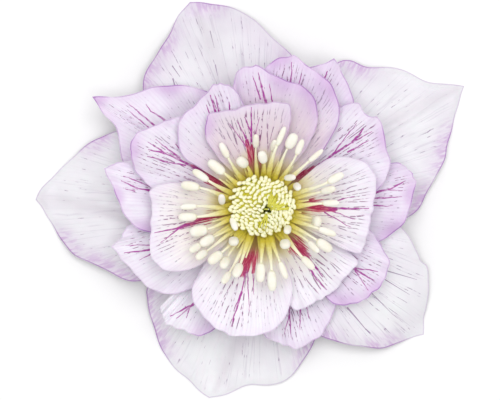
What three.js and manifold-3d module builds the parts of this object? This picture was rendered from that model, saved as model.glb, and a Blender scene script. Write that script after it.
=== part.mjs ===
// A double hellebore bloom, picked with a stub of its stalk and lying face up.
//
// Millimetres, +Z up. The bloom's axis stands on the origin while it is built: +X is called east
// and +Y north. Bearings are in degrees, anticlockwise from east.
//
// Sepals and petals are blades on nine tiers, from the lowest sepal to the innermost petal. Each
// tier is one bowl round the axis, a step above the bowl below it and turning up more steeply, so
// blades that lie over one another never touch. A blade is a fan of straight rays from its narrow
// claw, at the receptacle, to its rim.

import * as THREE from 'three';
import { mergeVertices } from 'three/addons/utils/BufferGeometryUtils.js';
import Module from 'manifold-3d';

// ---- Driving dimensions ----

const GAP = 0.3;                 // clear distance between neighbouring pieces
const BLADE = 0.6;               // thickness of a sepal or petal

const STALK_RADIUS = 1.7;        // cut stub of the flower stalk
const STALK_LENGTH = 1.3;        // straight part of the stub, below the swelling
const SWELLING = [[2.2, 1.9], [3, 2.3]];  // [radius, height] on the way from stub to receptacle
const RECEPTACLE_RADIUS = 3.4;   // column that carries every blade
const RECEPTACLE_FOOT = 2.6;     // height where the stub has swollen into the receptacle
const RECEPTACLE_CHAMFER = 0.4;

const LOWEST_CLAW = 3.2;         // height of the lowest sepals at the receptacle
const TIER_STEP = 1.05;          // height from one tier to the next, at the receptacle
const TIER_SLOPES = [-0.06, 0, 0.06, 0.14, 0.24, 0.35, 0.46, 0.58, 0.70];
const FIRST_PETAL_TIER = 3;
const FLARE = 22;                // the rise slackens over this distance, so the bowls flare open
const DISH = 0.8;                // how far every blade dips between its claw and DISH_REACH
const DISH_REACH = 22;
const DROOP_START = 20;          // radius where the sepals begin to bend down to the surface
const PRESS = 1.5;               // how far a tip would droop below the surface that flattens it

const RUFFLE = 0.3;              // height of the slow waves in a petal's outer half
const RUFFLE_WAVES = 1.5;        // waves from one side of a blade to the other
const RUFFLE_START = 8;          // radius where the waves begin
const RUFFLE_FULL = 22;          // radius where they reach their full height
const SPOON = 0.35;              // how far a blade's long sides rise above its midrib
const RECURVE = 0.4;             // how far a rim curls down over the last quarter of its rays

const PETAL_CLAW_WIDTH = 3.2;
const SEPAL_CLAW_WIDTH = 4.6;
const PETAL_GRID = { across: 14, along: 5 };
const SEPAL_GRID = { across: 20, along: 6 };
const RIM_CROWDING = 1.5;        // above 1, the facets of a blade are shorter towards its rim

// The pistils: carpels round the axis on a joint foot. Heights are above the receptacle's seat.
const PISTIL_FOOT = { radius: 1.3, topRadius: 1.1, height: 0.9 };
const CARPELS = 5;
const CARPEL_RADIUS = 0.32;
const CARPEL_PATH = [[0.6, 0.3], [0.75, 2.4], [0.95, 4.6]];  // [distance from the axis, height]

// The head: young anthers on a dome, whose top and edge are heights, over a ring-shaped core.
const HEAD = { young: 96, radius: 5.7, hole: 1.9, top: 18.6, edge: 16.2, fullness: 2.4 };
const YOUNG_ANTHER = { length: 1.5, width: 0.92, sunk: 0.35 };
const YOUNG_LEAN = { middle: 20, edge: 65, scatter: 16 };
const YOUNG_SCATTER = { bearing: 8, height: 0.3 };
const CORE_HOLE = 1.65;          // radius of the hole round the pistils
const CORE_STEM = { radius: 2.8, height: 1.4 };
const CORE_CAP = { throat: 4.3, throatDrop: 1.3, inset: 0.5, rimDrop: 0.7, rimSlant: 0.2 };
const CORE_DOME_RADII = [4.2, 3];

// The open stamens: a collar round the receptacle's top, filaments over the petals, and anthers.
// Each filament rises from its root in the collar, bends outward and arches to its anther.
const OPEN_STAMENS = 42;
const COLLAR = { inner: 3.1, outer: 4.3, height: 0.6 };
const FILAMENT = { radius: 0.34, root: 3.6, rootHeight: 0.35, bend: 6.4, bendHeight: 1.3, arch: 0.3 };
const OPEN_ANTHER = { length: 3.2, width: 1.6, leastWidth: 0.85, widthPerRise: 0.1 };
const STANDING = { reach: [8.2, 9.8], rise: [2.4, 3.4] };   // anthers close to the head
const SPREAD = { reach: [11.6, 14], rise: [0.7, 1.6] };     // anthers that lie far out
const OPEN_SCATTER = { bearing: 5, swing: 10 };

const WELD_DISTANCE = 1e-4;      // points closer than this are one point
const SEEDS = { blades: 3, head: 7, openStamens: 11 };

const FINISHES = {
  receptacle: { color: 0x9aa653, roughness: 0.6 },
  sepal: { color: 0xece8ee, roughness: 0.55 },
  petal: { color: 0xe8dcec, roughness: 0.5 },
  pistils: { color: 0xc9cc6a, roughness: 0.6 },
  youngStamens: { color: 0xf4f1cf, roughness: 0.6 },
  openStamens: { color: 0xf7f3e0, roughness: 0.6 },
};

// ---- Outlines ----

// Each blade has its name, its tier, the bearing of its claw, and its rim seen from above: the
// stretch before the tip, the tip and the stretch after it, going clockwise.

const SEPALS = [
  {
    name: 'sepal_east', tier: 0, claw: 31, tip: [38, 22.8],
    before: [
      [6.3, 16.7], [10.4, 23.8], [14.1, 27.1], [16.7, 27.5],
      [20, 26.4], [26, 26], [30.3, 23.9], [34, 23.2],
    ],
    after: [[36.4, 17.8], [35.1, 12.6], [34, 8.5], [31.2, 3.3], [29, -0.6], [24.7, -3.3]],
  },
  {
    name: 'sepal_south', tier: 0, claw: -105, tip: [-9.8, -35.6],
    before: [
      [8.9, -13.9], [11.5, -19.9], [10, -24.7], [7.8, -28.6],
      [3.9, -32.8], [-2.2, -33.2], [-7.1, -35.2],
    ],
    after: [[-13, -33], [-17.1, -29], [-19.5, -24.5], [-21.3, -17.6], [-20.8, -14.1], [-14.1, -8.5]],
  },
  {
    name: 'sepal_west', tier: 1, claw: 178, tip: [-42.3, 1.5],
    before: [
      [-21.5, -13.5], [-24.9, -13.6], [-30.1, -11.1],
      [-35.4, -8.5], [-37.9, -5.2], [-40.8, -0.6],
    ],
    after: [
      [-40.6, 4.3], [-37.1, 7.8], [-32.7, 11.7], [-30.4, 13.1],
      [-26.4, 14.5], [-20.8, 15.6], [-13, 12.6],
    ],
  },
  {
    name: 'sepal_north', tier: 2, claw: 109, tip: [-13.4, 38.5],
    before: [
      [-14.8, 9.3], [-20.8, 16.3], [-22.1, 21.9], [-21.3, 26],
      [-19.1, 29.3], [-17.1, 32.7], [-15.4, 36.4],
    ],
    after: [
      [-10.6, 38.3], [-7.4, 38], [-3.7, 36.7], [-0.7, 34.5],
      [3.3, 30.6], [6.3, 27.5], [8, 22.3], [6.7, 16.7],
    ],
  },
  {
    name: 'sepal_southeast', tier: 2, claw: -38, tip: [30.4, -23.8],
    before: [
      [16.7, 0.2], [22.8, -1.1], [26.5, -4.1], [29.5, -8.7],
      [30.6, -10.8], [31.3, -14.1], [31, -18.6], [30.3, -20.8],
    ],
    after: [[27.1, -24.7], [22.6, -26.2], [16.7, -25.6], [11, -23.9], [7.1, -21.2], [3.9, -16.1]],
  },
];

const PETALS = [
  {
    name: 'outer_petal_northwest', tier: 3, claw: 147, tip: [-31.4, 20.6],
    before: [[-17.4, 0.4], [-23.9, 4.6], [-26.2, 10.4], [-26.9, 14.7], [-29.5, 17.6]],
    after: [[-25.4, 20.8], [-20.4, 22.3], [-15.2, 22.8], [-10.4, 21.7], [-6.9, 19.7], [-4.8, 15.6]],
  },
  {
    name: 'outer_petal_north', tier: 3, claw: 65, tip: [13.4, 27.7],
    before: [[-1.1, 12.6], [1.1, 21], [5.2, 25.2], [10.4, 26.4]],
    after: [[15.4, 24.3], [17.1, 19.5], [16.1, 13.7], [11.5, 7.4]],
  },
  {
    name: 'outer_petal_east', tier: 3, claw: 3, tip: [28.7, 5.1],
    before: [[20.4, 7.6], [25.1, 8.4], [27.3, 7.1]],
    after: [[27.9, 1.5], [26.5, -2.6], [22.8, -5.8], [18.6, -7.2], [13.4, -5.6]],
  },
  {
    name: 'outer_petal_south', tier: 3, claw: -68, tip: [6.5, -26.3],
    before: [[11.5, -12.2], [13.9, -15.4], [13.4, -19.3], [10.8, -23.8]],
    after: [[3.3, -25.1], [0.4, -23.6], [0, -20.4]],
  },
  {
    name: 'outer_petal_southwest', tier: 3, claw: -122, tip: [-17.8, -21.6],
    before: [[-6.3, -20.8], [-11, -23.7], [-14.8, -22.6]],
    after: [[-18.9, -18.4]],
  },
  {
    name: 'outer_petal_northeast', tier: 4, claw: 40, tip: [21.3, 16.9],
    before: [[9.8, 14.8], [14.1, 18.4], [17.6, 19.5], [19.3, 17.3]],
    after: [[22.6, 14.5], [23, 11.5], [23.8, 8], [22.5, 4.6], [19.7, 2], [14.1, 1.1]],
  },
  {
    name: 'outer_petal_southeast', tier: 4, claw: -30, tip: [22.1, -14.5],
    before: [[15, -0.9], [19.9, -3.9], [22.5, -7.6], [23.6, -10], [23.2, -12.2]],
    after: [[18.9, -17.1], [16.3, -17.9], [13.4, -17.8], [11.1, -15.6]],
  },
  {
    name: 'outer_petal_west', tier: 4, claw: -160, tip: [-27.8, -7.2],
    before: [[-12.2, -14.7], [-16.7, -16], [-20.8, -14.8], [-24.5, -11]],
    after: [[-26, -5.4], [-24.7, -3.3], [-21.2, -1.7]],
  },
  {
    name: 'middle_petal_southeast', tier: 5, claw: -50, tip: [13.4, -15.4],
    before: [[10.8, -4.6], [14.7, -7.2], [17.7, -9.8], [16, -12.2]],
    after: [[10, -17.4], [6.7, -18.9], [4.8, -17.6]],
  },
  {
    name: 'middle_petal_northeast', tier: 5, claw: 72, tip: [5.9, 28.2],
    before: [[-2.2, 13], [-1.5, 20.4], [0.4, 25.4], [3, 27.5]],
    after: [[8.7, 26.1], [12.1, 23.6], [14.1, 19.9], [14.1, 15.6], [10.8, 9.5]],
  },
  {
    name: 'middle_petal_west', tier: 5, claw: 176, tip: [-29.1, 7.3],
    before: [[-14.8, -3.9], [-20.8, -4.5], [-24.7, -2.2], [-26.9, 2.4]],
    after: [[-26.4, 8.4], [-22.6, 8.7], [-18.9, 7.8]],
  },
  {
    name: 'inner_petal_south', tier: 6, claw: -102, tip: [-6.1, -23.5],
    before: [[4.3, -10], [5.7, -14.3], [4.5, -19.9], [1.1, -23], [-2.6, -23.6]],
    after: [[-9.8, -21], [-12.6, -17.1], [-12.6, -14.1], [-10, -9.3]],
  },
  {
    name: 'middle_petal_north', tier: 6, claw: 84, tip: [-1.1, 26.3],
    before: [[-4.6, 14.8], [-5.2, 20], [-5.2, 23], [-4.1, 25.5]],
    after: [[3.5, 23.9], [8.2, 22], [10, 19.3], [10.2, 15.2], [8.2, 10.8]],
  },
  {
    name: 'middle_petal_northwest', tier: 6, claw: 152, tip: [-24.2, 10.8],
    before: [[-14.1, 0.4], [-17.8, 2], [-20.6, 3.9], [-23.4, 7.1]],
    after: [[-23.4, 13.4], [-19.7, 15.2], [-15.2, 16.8], [-12.2, 16]],
  },
  {
    name: 'inner_petal_east', tier: 6, claw: 2, tip: [20.6, 0.2],
    before: [[10.2, 7.8], [13, 9.3], [17.4, 9.1], [20.2, 7.4], [21.1, 4.3]],
    after: [[19.7, -4.1], [18.8, -7.1], [18, -8.4], [15.4, -7.8]],
  },
  {
    name: 'inner_petal_west', tier: 7, claw: -165, tip: [-20.5, -5],
    before: [[-7.4, -7.4], [-11.9, -10.8], [-16.3, -11.7], [-19.5, -10.2], [-20.5, -7.6]],
    after: [[-20.2, 0.2], [-20.5, 3.3], [-17.4, 4.6], [-13.7, 4.8]],
  },
  {
    name: 'inner_petal_northwest', tier: 7, claw: 117, tip: [-8.9, 22.7],
    before: [[-11.1, 7.1], [-14.5, 9.5], [-15.5, 13.5], [-14.5, 16.9], [-11.5, 19.7]],
    after: [[-6.5, 22.7], [-4.5, 21.3], [-3, 18.6]],
  },
  {
    name: 'inner_petal_north', tier: 8, claw: 95, tip: [-2, 19],
    before: [[-7.8, 8.9], [-10.2, 12.6], [-10.2, 15.8], [-9.5, 17.4], [-6.1, 17.9]],
    after: [[1.1, 19.3], [4.8, 19.2], [5.4, 17.1], [4.8, 13.4], [3.7, 10.2]],
  },
];

// ---- Sizes that follow ----

const CLAW_RADIUS = RECEPTACLE_RADIUS + GAP;
const TOP_TIER = TIER_SLOPES.length - 1;
const RECEPTACLE_TOP = LOWEST_CLAW + TOP_TIER * TIER_STEP + BLADE / 2 + GAP;
const SEAT = RECEPTACLE_TOP + GAP;

// ---- Small tools ----

const wasm = await Module();
wasm.setup();

// A seeded generator of draws from 0 to 1.
function seededDraws(seed) {
  let state = seed;
  return () => {
    state = (state * 1664525 + 1013904223) % 4294967296;
    return state / 4294967296;
  };
}

// A draw from -spread / 2 to spread / 2.
function scatter(draw, spread) {
  return spread * (draw() - 0.5);
}

function smoothStep(from, to, value) {
  const t = THREE.MathUtils.clamp((value - from) / (to - from), 0, 1);
  return t * t * (3 - 2 * t);
}

function polar(bearing, radius, height = 0) {
  const angle = THREE.MathUtils.degToRad(bearing);
  return new THREE.Vector3(radius * Math.cos(angle), radius * Math.sin(angle), height);
}

function weld(geometry) {
  const bare = geometry.clone();
  bare.deleteAttribute('normal');
  bare.deleteAttribute('uv');
  return mergeVertices(bare, WELD_DISTANCE);
}

function toSolid(geometry) {
  const welded = weld(geometry);
  const mesh = new wasm.Mesh({
    numProp: 3,
    vertProperties: new Float32Array(welded.attributes.position.array),
    triVerts: new Uint32Array(welded.index.array),
  });
  return new wasm.Manifold(mesh);
}

function toGeometry(solid) {
  const mesh = solid.getMesh();
  const geometry = new THREE.BufferGeometry();
  geometry.setAttribute('position', new THREE.BufferAttribute(mesh.vertProperties, 3));
  geometry.setIndex(new THREE.BufferAttribute(mesh.triVerts, 1));
  return geometry;
}

function fuse(geometries) {
  return geometries.map(toSolid).reduce((sum, solid) => sum.add(solid));
}

// Turns a profile of [radius, height] points, listed upward on its outer side, round the Z axis.
function turned(profile, sides) {
  const points = profile.map(([radius, height]) => new THREE.Vector2(radius, height));
  return new THREE.LatheGeometry(points, sides).rotateX(Math.PI / 2);
}

function tube(points, radius, sides, steps) {
  const section = new THREE.Shape();
  for (let i = 0; i < sides; i += 1) {
    const angle = (2 * Math.PI * i) / sides;
    const x = radius * Math.cos(angle);
    const y = radius * Math.sin(angle);
    if (i === 0) section.moveTo(x, y);
    else section.lineTo(x, y);
  }
  section.closePath();
  const extrudePath = new THREE.CatmullRomCurve3(points);
  return new THREE.ExtrudeGeometry(section, { steps, extrudePath, bevelEnabled: false });
}

// An egg-shaped grain with its long axis along a direction.
function grain(centre, direction, length, width, sides, rings) {
  const geometry = new THREE.SphereGeometry(0.5, sides, rings);
  geometry.scale(width, length, width);
  const turn = new THREE.Quaternion().setFromUnitVectors(new THREE.Vector3(0, 1, 0), direction);
  return geometry.applyQuaternion(turn).translate(centre.x, centre.y, centre.z);
}

// ---- Blades ----

// Height of a tier's middle surface at a radius from the axis.
function tierHeight(tier, radius) {
  const out = radius - CLAW_RADIUS;
  const rise = TIER_SLOPES[tier] * FLARE * (1 - Math.exp(-out / FLARE));
  const dip = DISH * Math.sin(Math.PI * THREE.MathUtils.clamp(out / DISH_REACH, 0, 1));
  return LOWEST_CLAW + tier * TIER_STEP + rise - dip;
}

// Half the upright thickness that leaves a blade BLADE thick across its slope.
function halfUpright(tier, radius) {
  const slope = tierHeight(tier, radius + 0.5) - tierHeight(tier, radius - 0.5);
  return (BLADE / 2) * Math.hypot(1, slope);
}

// How far a sepal has bent down at a radius, so that its tip lies on the surface. Petals stay up.
function droop(blade, radius) {
  if (blade.tier >= FIRST_PETAL_TIER) return 0;
  const tipRadius = Math.hypot(...blade.tip);
  const past = Math.max(0, radius - DROOP_START) / (tipRadius - DROOP_START);
  return (tierHeight(blade.tier, tipRadius) + PRESS) * past * past;
}

// Slow waves, the spoon shape and the curled rim, growing from nothing near the receptacle.
function flex(across, along, radius, phase) {
  const growth = smoothStep(RUFFLE_START, RUFFLE_FULL, radius);
  const wave = RUFFLE * Math.sin(2 * Math.PI * (RUFFLE_WAVES * across + phase));
  const side = SPOON * (2 * across - 1) ** 2;
  const curl = RECURVE * Math.max(0, 4 * along - 3) ** 2;
  return growth * (wave + side - curl);
}

// Half of a rim as evenly spaced points on a smooth curve.
function rimPoints(points, count) {
  const curve = new THREE.CatmullRomCurve3(points, false, 'catmullrom', 0.5);
  return curve.getSpacedPoints(count);
}

// The plan of a blade: one claw point and one rim point for each ray.
function bladeRays(blade, clawWidth, count) {
  const flat = ([x, y]) => new THREE.Vector3(x, y, 0);
  const tip = flat(blade.tip);
  const before = rimPoints([...blade.before.map(flat), tip], count / 2);
  const after = rimPoints([tip, ...blade.after.map(flat)], count / 2);
  const rim = [...before, ...after.slice(1)];
  const halfAngle = THREE.MathUtils.radToDeg(clawWidth / 2 / CLAW_RADIUS);
  return rim.map((end, i) => {
    const across = i / count;
    const start = polar(blade.claw + halfAngle * (1 - 2 * across), CLAW_RADIUS);
    return { across, start, end };
  });
}

// Grid points of a blade's upper or lower face, ray by ray from the claw out, closer near the rim.
function bladeFace(blade, clawWidth, grid, phase, side) {
  const points = [];
  for (const { across, start, end } of bladeRays(blade, clawWidth, grid.across)) {
    for (let j = 0; j <= grid.along; j += 1) {
      const along = 1 - (1 - j / grid.along) ** RIM_CROWDING;
      const point = new THREE.Vector3().lerpVectors(start, end, along);
      const radius = Math.hypot(point.x, point.y);
      const half = halfUpright(blade.tier, radius);
      const middle = tierHeight(blade.tier, radius) - droop(blade, radius);
      point.z = Math.max(half, middle + flex(across, along, radius, phase)) + side * half;
      points.push(point.x, point.y, point.z);
    }
  }
  return points;
}

// Closes both faces into a solid, with their triangles split alike.
function bladeGeometry(blade, clawWidth, grid, phase) {
  const perRay = grid.along + 1;
  const faceSize = (grid.across + 1) * perRay;
  const positions = [
    ...bladeFace(blade, clawWidth, grid, phase, 1),
    ...bladeFace(blade, clawWidth, grid, phase, -1),
  ];
  const triangles = [];
  const quad = (a, b, c, d) => triangles.push(a, b, c, a, c, d);
  const upper = (i, j) => i * perRay + j;
  const lower = (i, j) => faceSize + i * perRay + j;
  for (let i = 0; i < grid.across; i += 1) {
    for (let j = 0; j < grid.along; j += 1) {
      quad(upper(i, j), upper(i + 1, j), upper(i + 1, j + 1), upper(i, j + 1));
      triangles.push(lower(i, j), lower(i + 1, j + 1), lower(i + 1, j));
      triangles.push(lower(i, j), lower(i, j + 1), lower(i + 1, j + 1));
    }
    quad(lower(i, 0), lower(i + 1, 0), upper(i + 1, 0), upper(i, 0));
    const last = grid.along;
    quad(upper(i, last), upper(i + 1, last), lower(i + 1, last), lower(i, last));
  }
  for (let j = 0; j < grid.along; j += 1) {
    const end = grid.across;
    quad(upper(0, j), upper(0, j + 1), lower(0, j + 1), lower(0, j));
    quad(upper(end, j + 1), upper(end, j), lower(end, j), lower(end, j + 1));
  }
  const geometry = new THREE.BufferGeometry();
  geometry.setAttribute('position', new THREE.Float32BufferAttribute(positions, 3));
  geometry.setIndex(triangles);
  return geometry;
}

// ---- Receptacle, pistils and stamens ----

// The cut stub of stalk swells into the column that carries the blades.
function receptacleGeometry() {
  return turned([
    [0, 0],
    [STALK_RADIUS, 0],
    [STALK_RADIUS, STALK_LENGTH],
    ...SWELLING,
    [RECEPTACLE_RADIUS, RECEPTACLE_FOOT],
    [RECEPTACLE_RADIUS, RECEPTACLE_TOP - RECEPTACLE_CHAMFER],
    [RECEPTACLE_RADIUS - RECEPTACLE_CHAMFER, RECEPTACLE_TOP],
    [0, RECEPTACLE_TOP],
  ], 24);
}

// Slender carpels stand in the middle, joined at their feet.
function pistilGeometry() {
  const footTop = SEAT + PISTIL_FOOT.height;
  const foot = turned([
    [0, SEAT],
    [PISTIL_FOOT.radius, SEAT],
    [PISTIL_FOOT.topRadius, footTop],
    [0, footTop],
  ], 10);
  const carpels = [];
  for (let i = 0; i < CARPELS; i += 1) {
    const bearing = (360 * i) / CARPELS;
    const path = CARPEL_PATH.map(([radius, height]) => polar(bearing, radius, SEAT + height));
    carpels.push(tube(path, CARPEL_RADIUS, 5, 3));
  }
  return toGeometry(fuse([foot, ...carpels]));
}

// Height of the dome that the young anthers' tips make.
function headHeight(radius) {
  const t = radius / HEAD.radius;
  return HEAD.top - (HEAD.top - HEAD.edge) * t ** HEAD.fullness;
}

// A mushroom-shaped ring of packed filaments under the young anthers.
function headCore() {
  const under = YOUNG_ANTHER.length - YOUNG_ANTHER.sunk;
  const onDome = (radius) => [radius, headHeight(radius) - under];
  const rim = HEAD.radius - CORE_CAP.inset;
  return turned([
    [CORE_HOLE, SEAT],
    [CORE_STEM.radius, SEAT],
    [CORE_STEM.radius, SEAT + CORE_STEM.height],
    [CORE_CAP.throat, HEAD.edge - CORE_CAP.throatDrop],
    [rim, HEAD.edge - CORE_CAP.rimDrop],
    [rim - CORE_CAP.rimSlant, headHeight(rim) - under],
    ...CORE_DOME_RADII.map(onDome),
    onDome(CORE_HOLE),
    [CORE_HOLE, SEAT],
  ], 18);
}

// Young anthers spiral out over the head by the golden angle, leaning outward more at its edge.
function youngStamenGeometry() {
  const draw = seededDraws(SEEDS.head);
  const goldenAngle = 137.508;
  const anthers = [];
  for (let i = 0; i < HEAD.young; i += 1) {
    const share = (i + 0.5) / HEAD.young;
    const radius = Math.sqrt(HEAD.hole ** 2 + share * (HEAD.radius ** 2 - HEAD.hole ** 2));
    const bearing = i * goldenAngle + scatter(draw, YOUNG_SCATTER.bearing);
    const outward = (YOUNG_LEAN.edge - YOUNG_LEAN.middle) * (radius / HEAD.radius) ** 2;
    const lean = YOUNG_LEAN.middle + outward + scatter(draw, YOUNG_LEAN.scatter);
    const leanAngle = THREE.MathUtils.degToRad(lean);
    const direction = polar(bearing, Math.sin(leanAngle), Math.cos(leanAngle));
    const tip = polar(bearing, radius, headHeight(radius) + scatter(draw, YOUNG_SCATTER.height));
    const centre = tip.addScaledVector(direction, -YOUNG_ANTHER.length / 2);
    anthers.push(grain(centre, direction, YOUNG_ANTHER.length, YOUNG_ANTHER.width, 4, 3));
  }
  return toGeometry(fuse([headCore(), ...anthers]));
}

// An open stamen leaves the collar under the head, clears the innermost petal and ends in an anther.
function openStamen(bearing, reach, rise, swing) {
  const clearance = FILAMENT.radius + BLADE / 2 + GAP;
  const anther = polar(bearing + swing, reach, tierHeight(TOP_TIER, reach) + clearance + rise);
  const bendHeight = SEAT + FILAMENT.bendHeight;
  const archHeight = (bendHeight + anther.z) / 2 + FILAMENT.arch;
  const path = [
    polar(bearing, FILAMENT.root, SEAT + FILAMENT.rootHeight),
    polar(bearing, FILAMENT.bend, bendHeight),
    polar(bearing + swing / 2, (FILAMENT.bend + reach) / 2, archHeight),
    anther,
  ];
  const direction = new THREE.Vector3().subVectors(path[3], path[2]).normalize();
  const width = OPEN_ANTHER.width * (OPEN_ANTHER.leastWidth + OPEN_ANTHER.widthPerRise * rise);
  return [
    tube(path, FILAMENT.radius, 4, 3),
    grain(anther, direction, OPEN_ANTHER.length, width, 5, 3),
  ];
}

// Three in four open stamens lie far out, and every fourth stands up close to the head.
function openStamenGeometry() {
  const draw = seededDraws(SEEDS.openStamens);
  const collarTop = SEAT + COLLAR.height;
  const collar = turned([
    [COLLAR.inner, SEAT],
    [COLLAR.outer, SEAT],
    [COLLAR.outer, collarTop],
    [COLLAR.inner, collarTop],
    [COLLAR.inner, SEAT],
  ], 24);
  const pieces = [collar];
  for (let i = 0; i < OPEN_STAMENS; i += 1) {
    const place = i % 4 === 1 ? STANDING : SPREAD;
    const bearing = (360 * i) / OPEN_STAMENS + scatter(draw, OPEN_SCATTER.bearing);
    const reach = THREE.MathUtils.lerp(...place.reach, draw());
    const rise = THREE.MathUtils.lerp(...place.rise, draw());
    pieces.push(...openStamen(bearing, reach, rise, scatter(draw, OPEN_SCATTER.swing)));
  }
  return toGeometry(fuse(pieces));
}

// ---- The bloom ----

function piece(name, geometry, finish) {
  const material = new THREE.MeshStandardMaterial({ ...finish, metalness: 0 });
  const mesh = new THREE.Mesh(geometry, material);
  mesh.name = name;
  return mesh;
}

const bloom = new THREE.Group();
bloom.add(piece('receptacle', receptacleGeometry(), FINISHES.receptacle));
const drawPhase = seededDraws(SEEDS.blades);
for (const sepal of SEPALS) {
  const geometry = bladeGeometry(sepal, SEPAL_CLAW_WIDTH, SEPAL_GRID, drawPhase());
  bloom.add(piece(sepal.name, geometry, FINISHES.sepal));
}
for (const petal of PETALS) {
  const geometry = bladeGeometry(petal, PETAL_CLAW_WIDTH, PETAL_GRID, drawPhase());
  bloom.add(piece(petal.name, geometry, FINISHES.petal));
}
bloom.add(piece('pistils', pistilGeometry(), FINISHES.pistils));
bloom.add(piece('young_stamens', youngStamenGeometry(), FINISHES.youngStamens));
bloom.add(piece('open_stamens', openStamenGeometry(), FINISHES.openStamens));

// The origin goes under the middle of the whole bloom, on the surface that it lies on.
const box = new THREE.Box3().setFromObject(bloom);
const middle = box.getCenter(new THREE.Vector3());
bloom.position.set(-middle.x, -middle.y, -box.min.z);

export default bloom;
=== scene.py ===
# %% [markdown]
# A double hellebore bloom, picked and lying face up
#
# The bloom is made of thin blades in tiers, a head of closed stamens and a ring of open ones. The
# packed solids give its place and size. Each one is replaced here by a finer piece of the same form,
# with veins, blush and pollen that a plain solid can't carry.

# %% Load the solids
from functools import partialmethod, reduce

import bpy
import numpy as np
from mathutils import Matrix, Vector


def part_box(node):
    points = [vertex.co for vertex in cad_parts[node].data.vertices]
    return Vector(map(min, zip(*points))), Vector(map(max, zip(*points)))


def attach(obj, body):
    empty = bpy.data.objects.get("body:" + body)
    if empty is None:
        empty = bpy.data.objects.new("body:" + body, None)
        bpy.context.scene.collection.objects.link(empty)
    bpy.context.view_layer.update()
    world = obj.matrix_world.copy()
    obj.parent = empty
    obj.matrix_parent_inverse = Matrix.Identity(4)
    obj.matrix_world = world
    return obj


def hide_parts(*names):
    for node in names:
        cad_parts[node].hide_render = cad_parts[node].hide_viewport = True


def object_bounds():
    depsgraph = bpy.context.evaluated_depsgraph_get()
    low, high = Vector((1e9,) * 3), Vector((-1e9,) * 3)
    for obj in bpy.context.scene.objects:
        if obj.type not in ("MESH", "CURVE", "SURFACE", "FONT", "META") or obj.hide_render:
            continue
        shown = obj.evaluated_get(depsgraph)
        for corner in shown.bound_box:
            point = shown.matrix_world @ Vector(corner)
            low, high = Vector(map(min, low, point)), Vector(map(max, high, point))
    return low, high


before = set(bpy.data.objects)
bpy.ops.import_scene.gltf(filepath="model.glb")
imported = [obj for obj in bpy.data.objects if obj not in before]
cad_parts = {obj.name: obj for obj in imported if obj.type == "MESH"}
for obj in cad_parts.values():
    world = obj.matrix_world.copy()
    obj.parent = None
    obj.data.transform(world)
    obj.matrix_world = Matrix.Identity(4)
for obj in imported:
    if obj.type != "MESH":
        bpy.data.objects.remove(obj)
solid_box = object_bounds()
print("the solids measure, in mm,", [round(1000 * (b - a), 1) for a, b in zip(*solid_box)])

# %% [markdown]
# Millimetres and the flower's axis
#
# A flower is easiest to think about in millimetres from its own axis, so every shape below is worked
# out that way and moved to its place at the very end. The receptacle is round, so the middle of its
# box is the axis. The solids round it start a narrow seam away from it, and so does the head here, but
# the blades reach right up to it.

# %% Find the axis
MM = 0.001
SEAM = 0.3
receptacle_low, receptacle_high = (np.array(corner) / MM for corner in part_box("receptacle"))
AXIS = np.array([*(receptacle_low + receptacle_high)[:2] / 2, 0])
CLAW_RADIUS = (receptacle_high - receptacle_low)[0] / 2 + SEAM
RECEPTACLE_TOP = receptacle_high[2]
SEAT = RECEPTACLE_TOP + SEAM
print("the axis stands at", AXIS.round(2), "and the seam ends", round(CLAW_RADIUS, 2), "mm from it")

# %% [markdown]
# Faces from row and column numbers
#
# Every piece here is a grid: rows of points that run one way and columns that run the other. Once
# the points are an array, the faces follow from their row and column numbers alone, so one helper
# serves petals, stalks and grains. A grid can be closed into a tube along its columns.

# %% Faces of a grid
def grid_faces(rows, columns, wrap=False, loop=False):
    """Quads between neighbouring rows and columns. With wrap, the last column joins the first, and
    with loop, the last row does."""
    index = np.arange(rows * columns).reshape(rows, columns)
    if wrap:
        index = np.hstack([index, index[:, :1]])
    if loop:
        index = np.vstack([index, index[:1]])
    corners = [index[:-1, :-1], index[:-1, 1:], index[1:, 1:], index[1:, :-1]]
    return np.stack([c.ravel() for c in corners], axis=1)


print("the faces of 2 rows of 3 points:", grid_faces(2, 3).tolist())

# %% [markdown]
# Into the scene
#
# A mesh can be filled from whole arrays at once, which is far quicker than adding its points one by
# one. Numbers that a material needs later, such as the distance to the rim, are stored at the points.
# The finished piece then rides on the same body as its solid and takes the solid's place.

# %% Meshes and pieces
def make_mesh(name, points, faces, fields=None):
    """Fills a mesh from whole arrays: points in mm from the axis, faces, and named numbers per point."""
    mesh = bpy.data.meshes.new(name)
    mesh.from_pydata(((points + AXIS) * MM).tolist(), [], faces)
    for field, values in (fields or {}).items():
        layer = mesh.attributes.new(field, "FLOAT", "POINT")
        layer.data.foreach_set("value", np.ascontiguousarray(values, dtype=np.float32).ravel())
    mesh.shade_smooth()
    return mesh


def add_object(name, data):
    """Puts a mesh, a lamp or a camera in the scene."""
    made = bpy.data.objects.new(name, data)
    bpy.context.scene.collection.objects.link(made)
    return made


def add_piece(name, mesh, material, node):
    """Puts a mesh in the scene as the finished stand-in for one solid."""
    mesh.materials.append(material)
    piece = add_object(name, mesh)
    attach(piece, "root")
    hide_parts(node)
    print(name, "stands in for", node)


print("solids to replace:", len(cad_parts))

# %% [markdown]
# Nine bowls, one inside another
#
# On the living flower the blades leave a short column one above another, the sepals lowest, and each
# whorl turns up more steeply than the one below it. A set of nested bowls gives just that: if every
# blade is cut from the bowl of its own tier, blades lie over one another and never cross.

# %% Height of a tier
LOWEST_CLAW, TIER_STEP = 3.2, 1.05
TIER_SLOPES = [-0.06, 0, 0.06, 0.14, 0.24, 0.35, 0.46, 0.58, 0.70]
TOP_TIER = len(TIER_SLOPES) - 1
FLARE = 22
DISH, DISH_REACH = 0.8, 22


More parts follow.
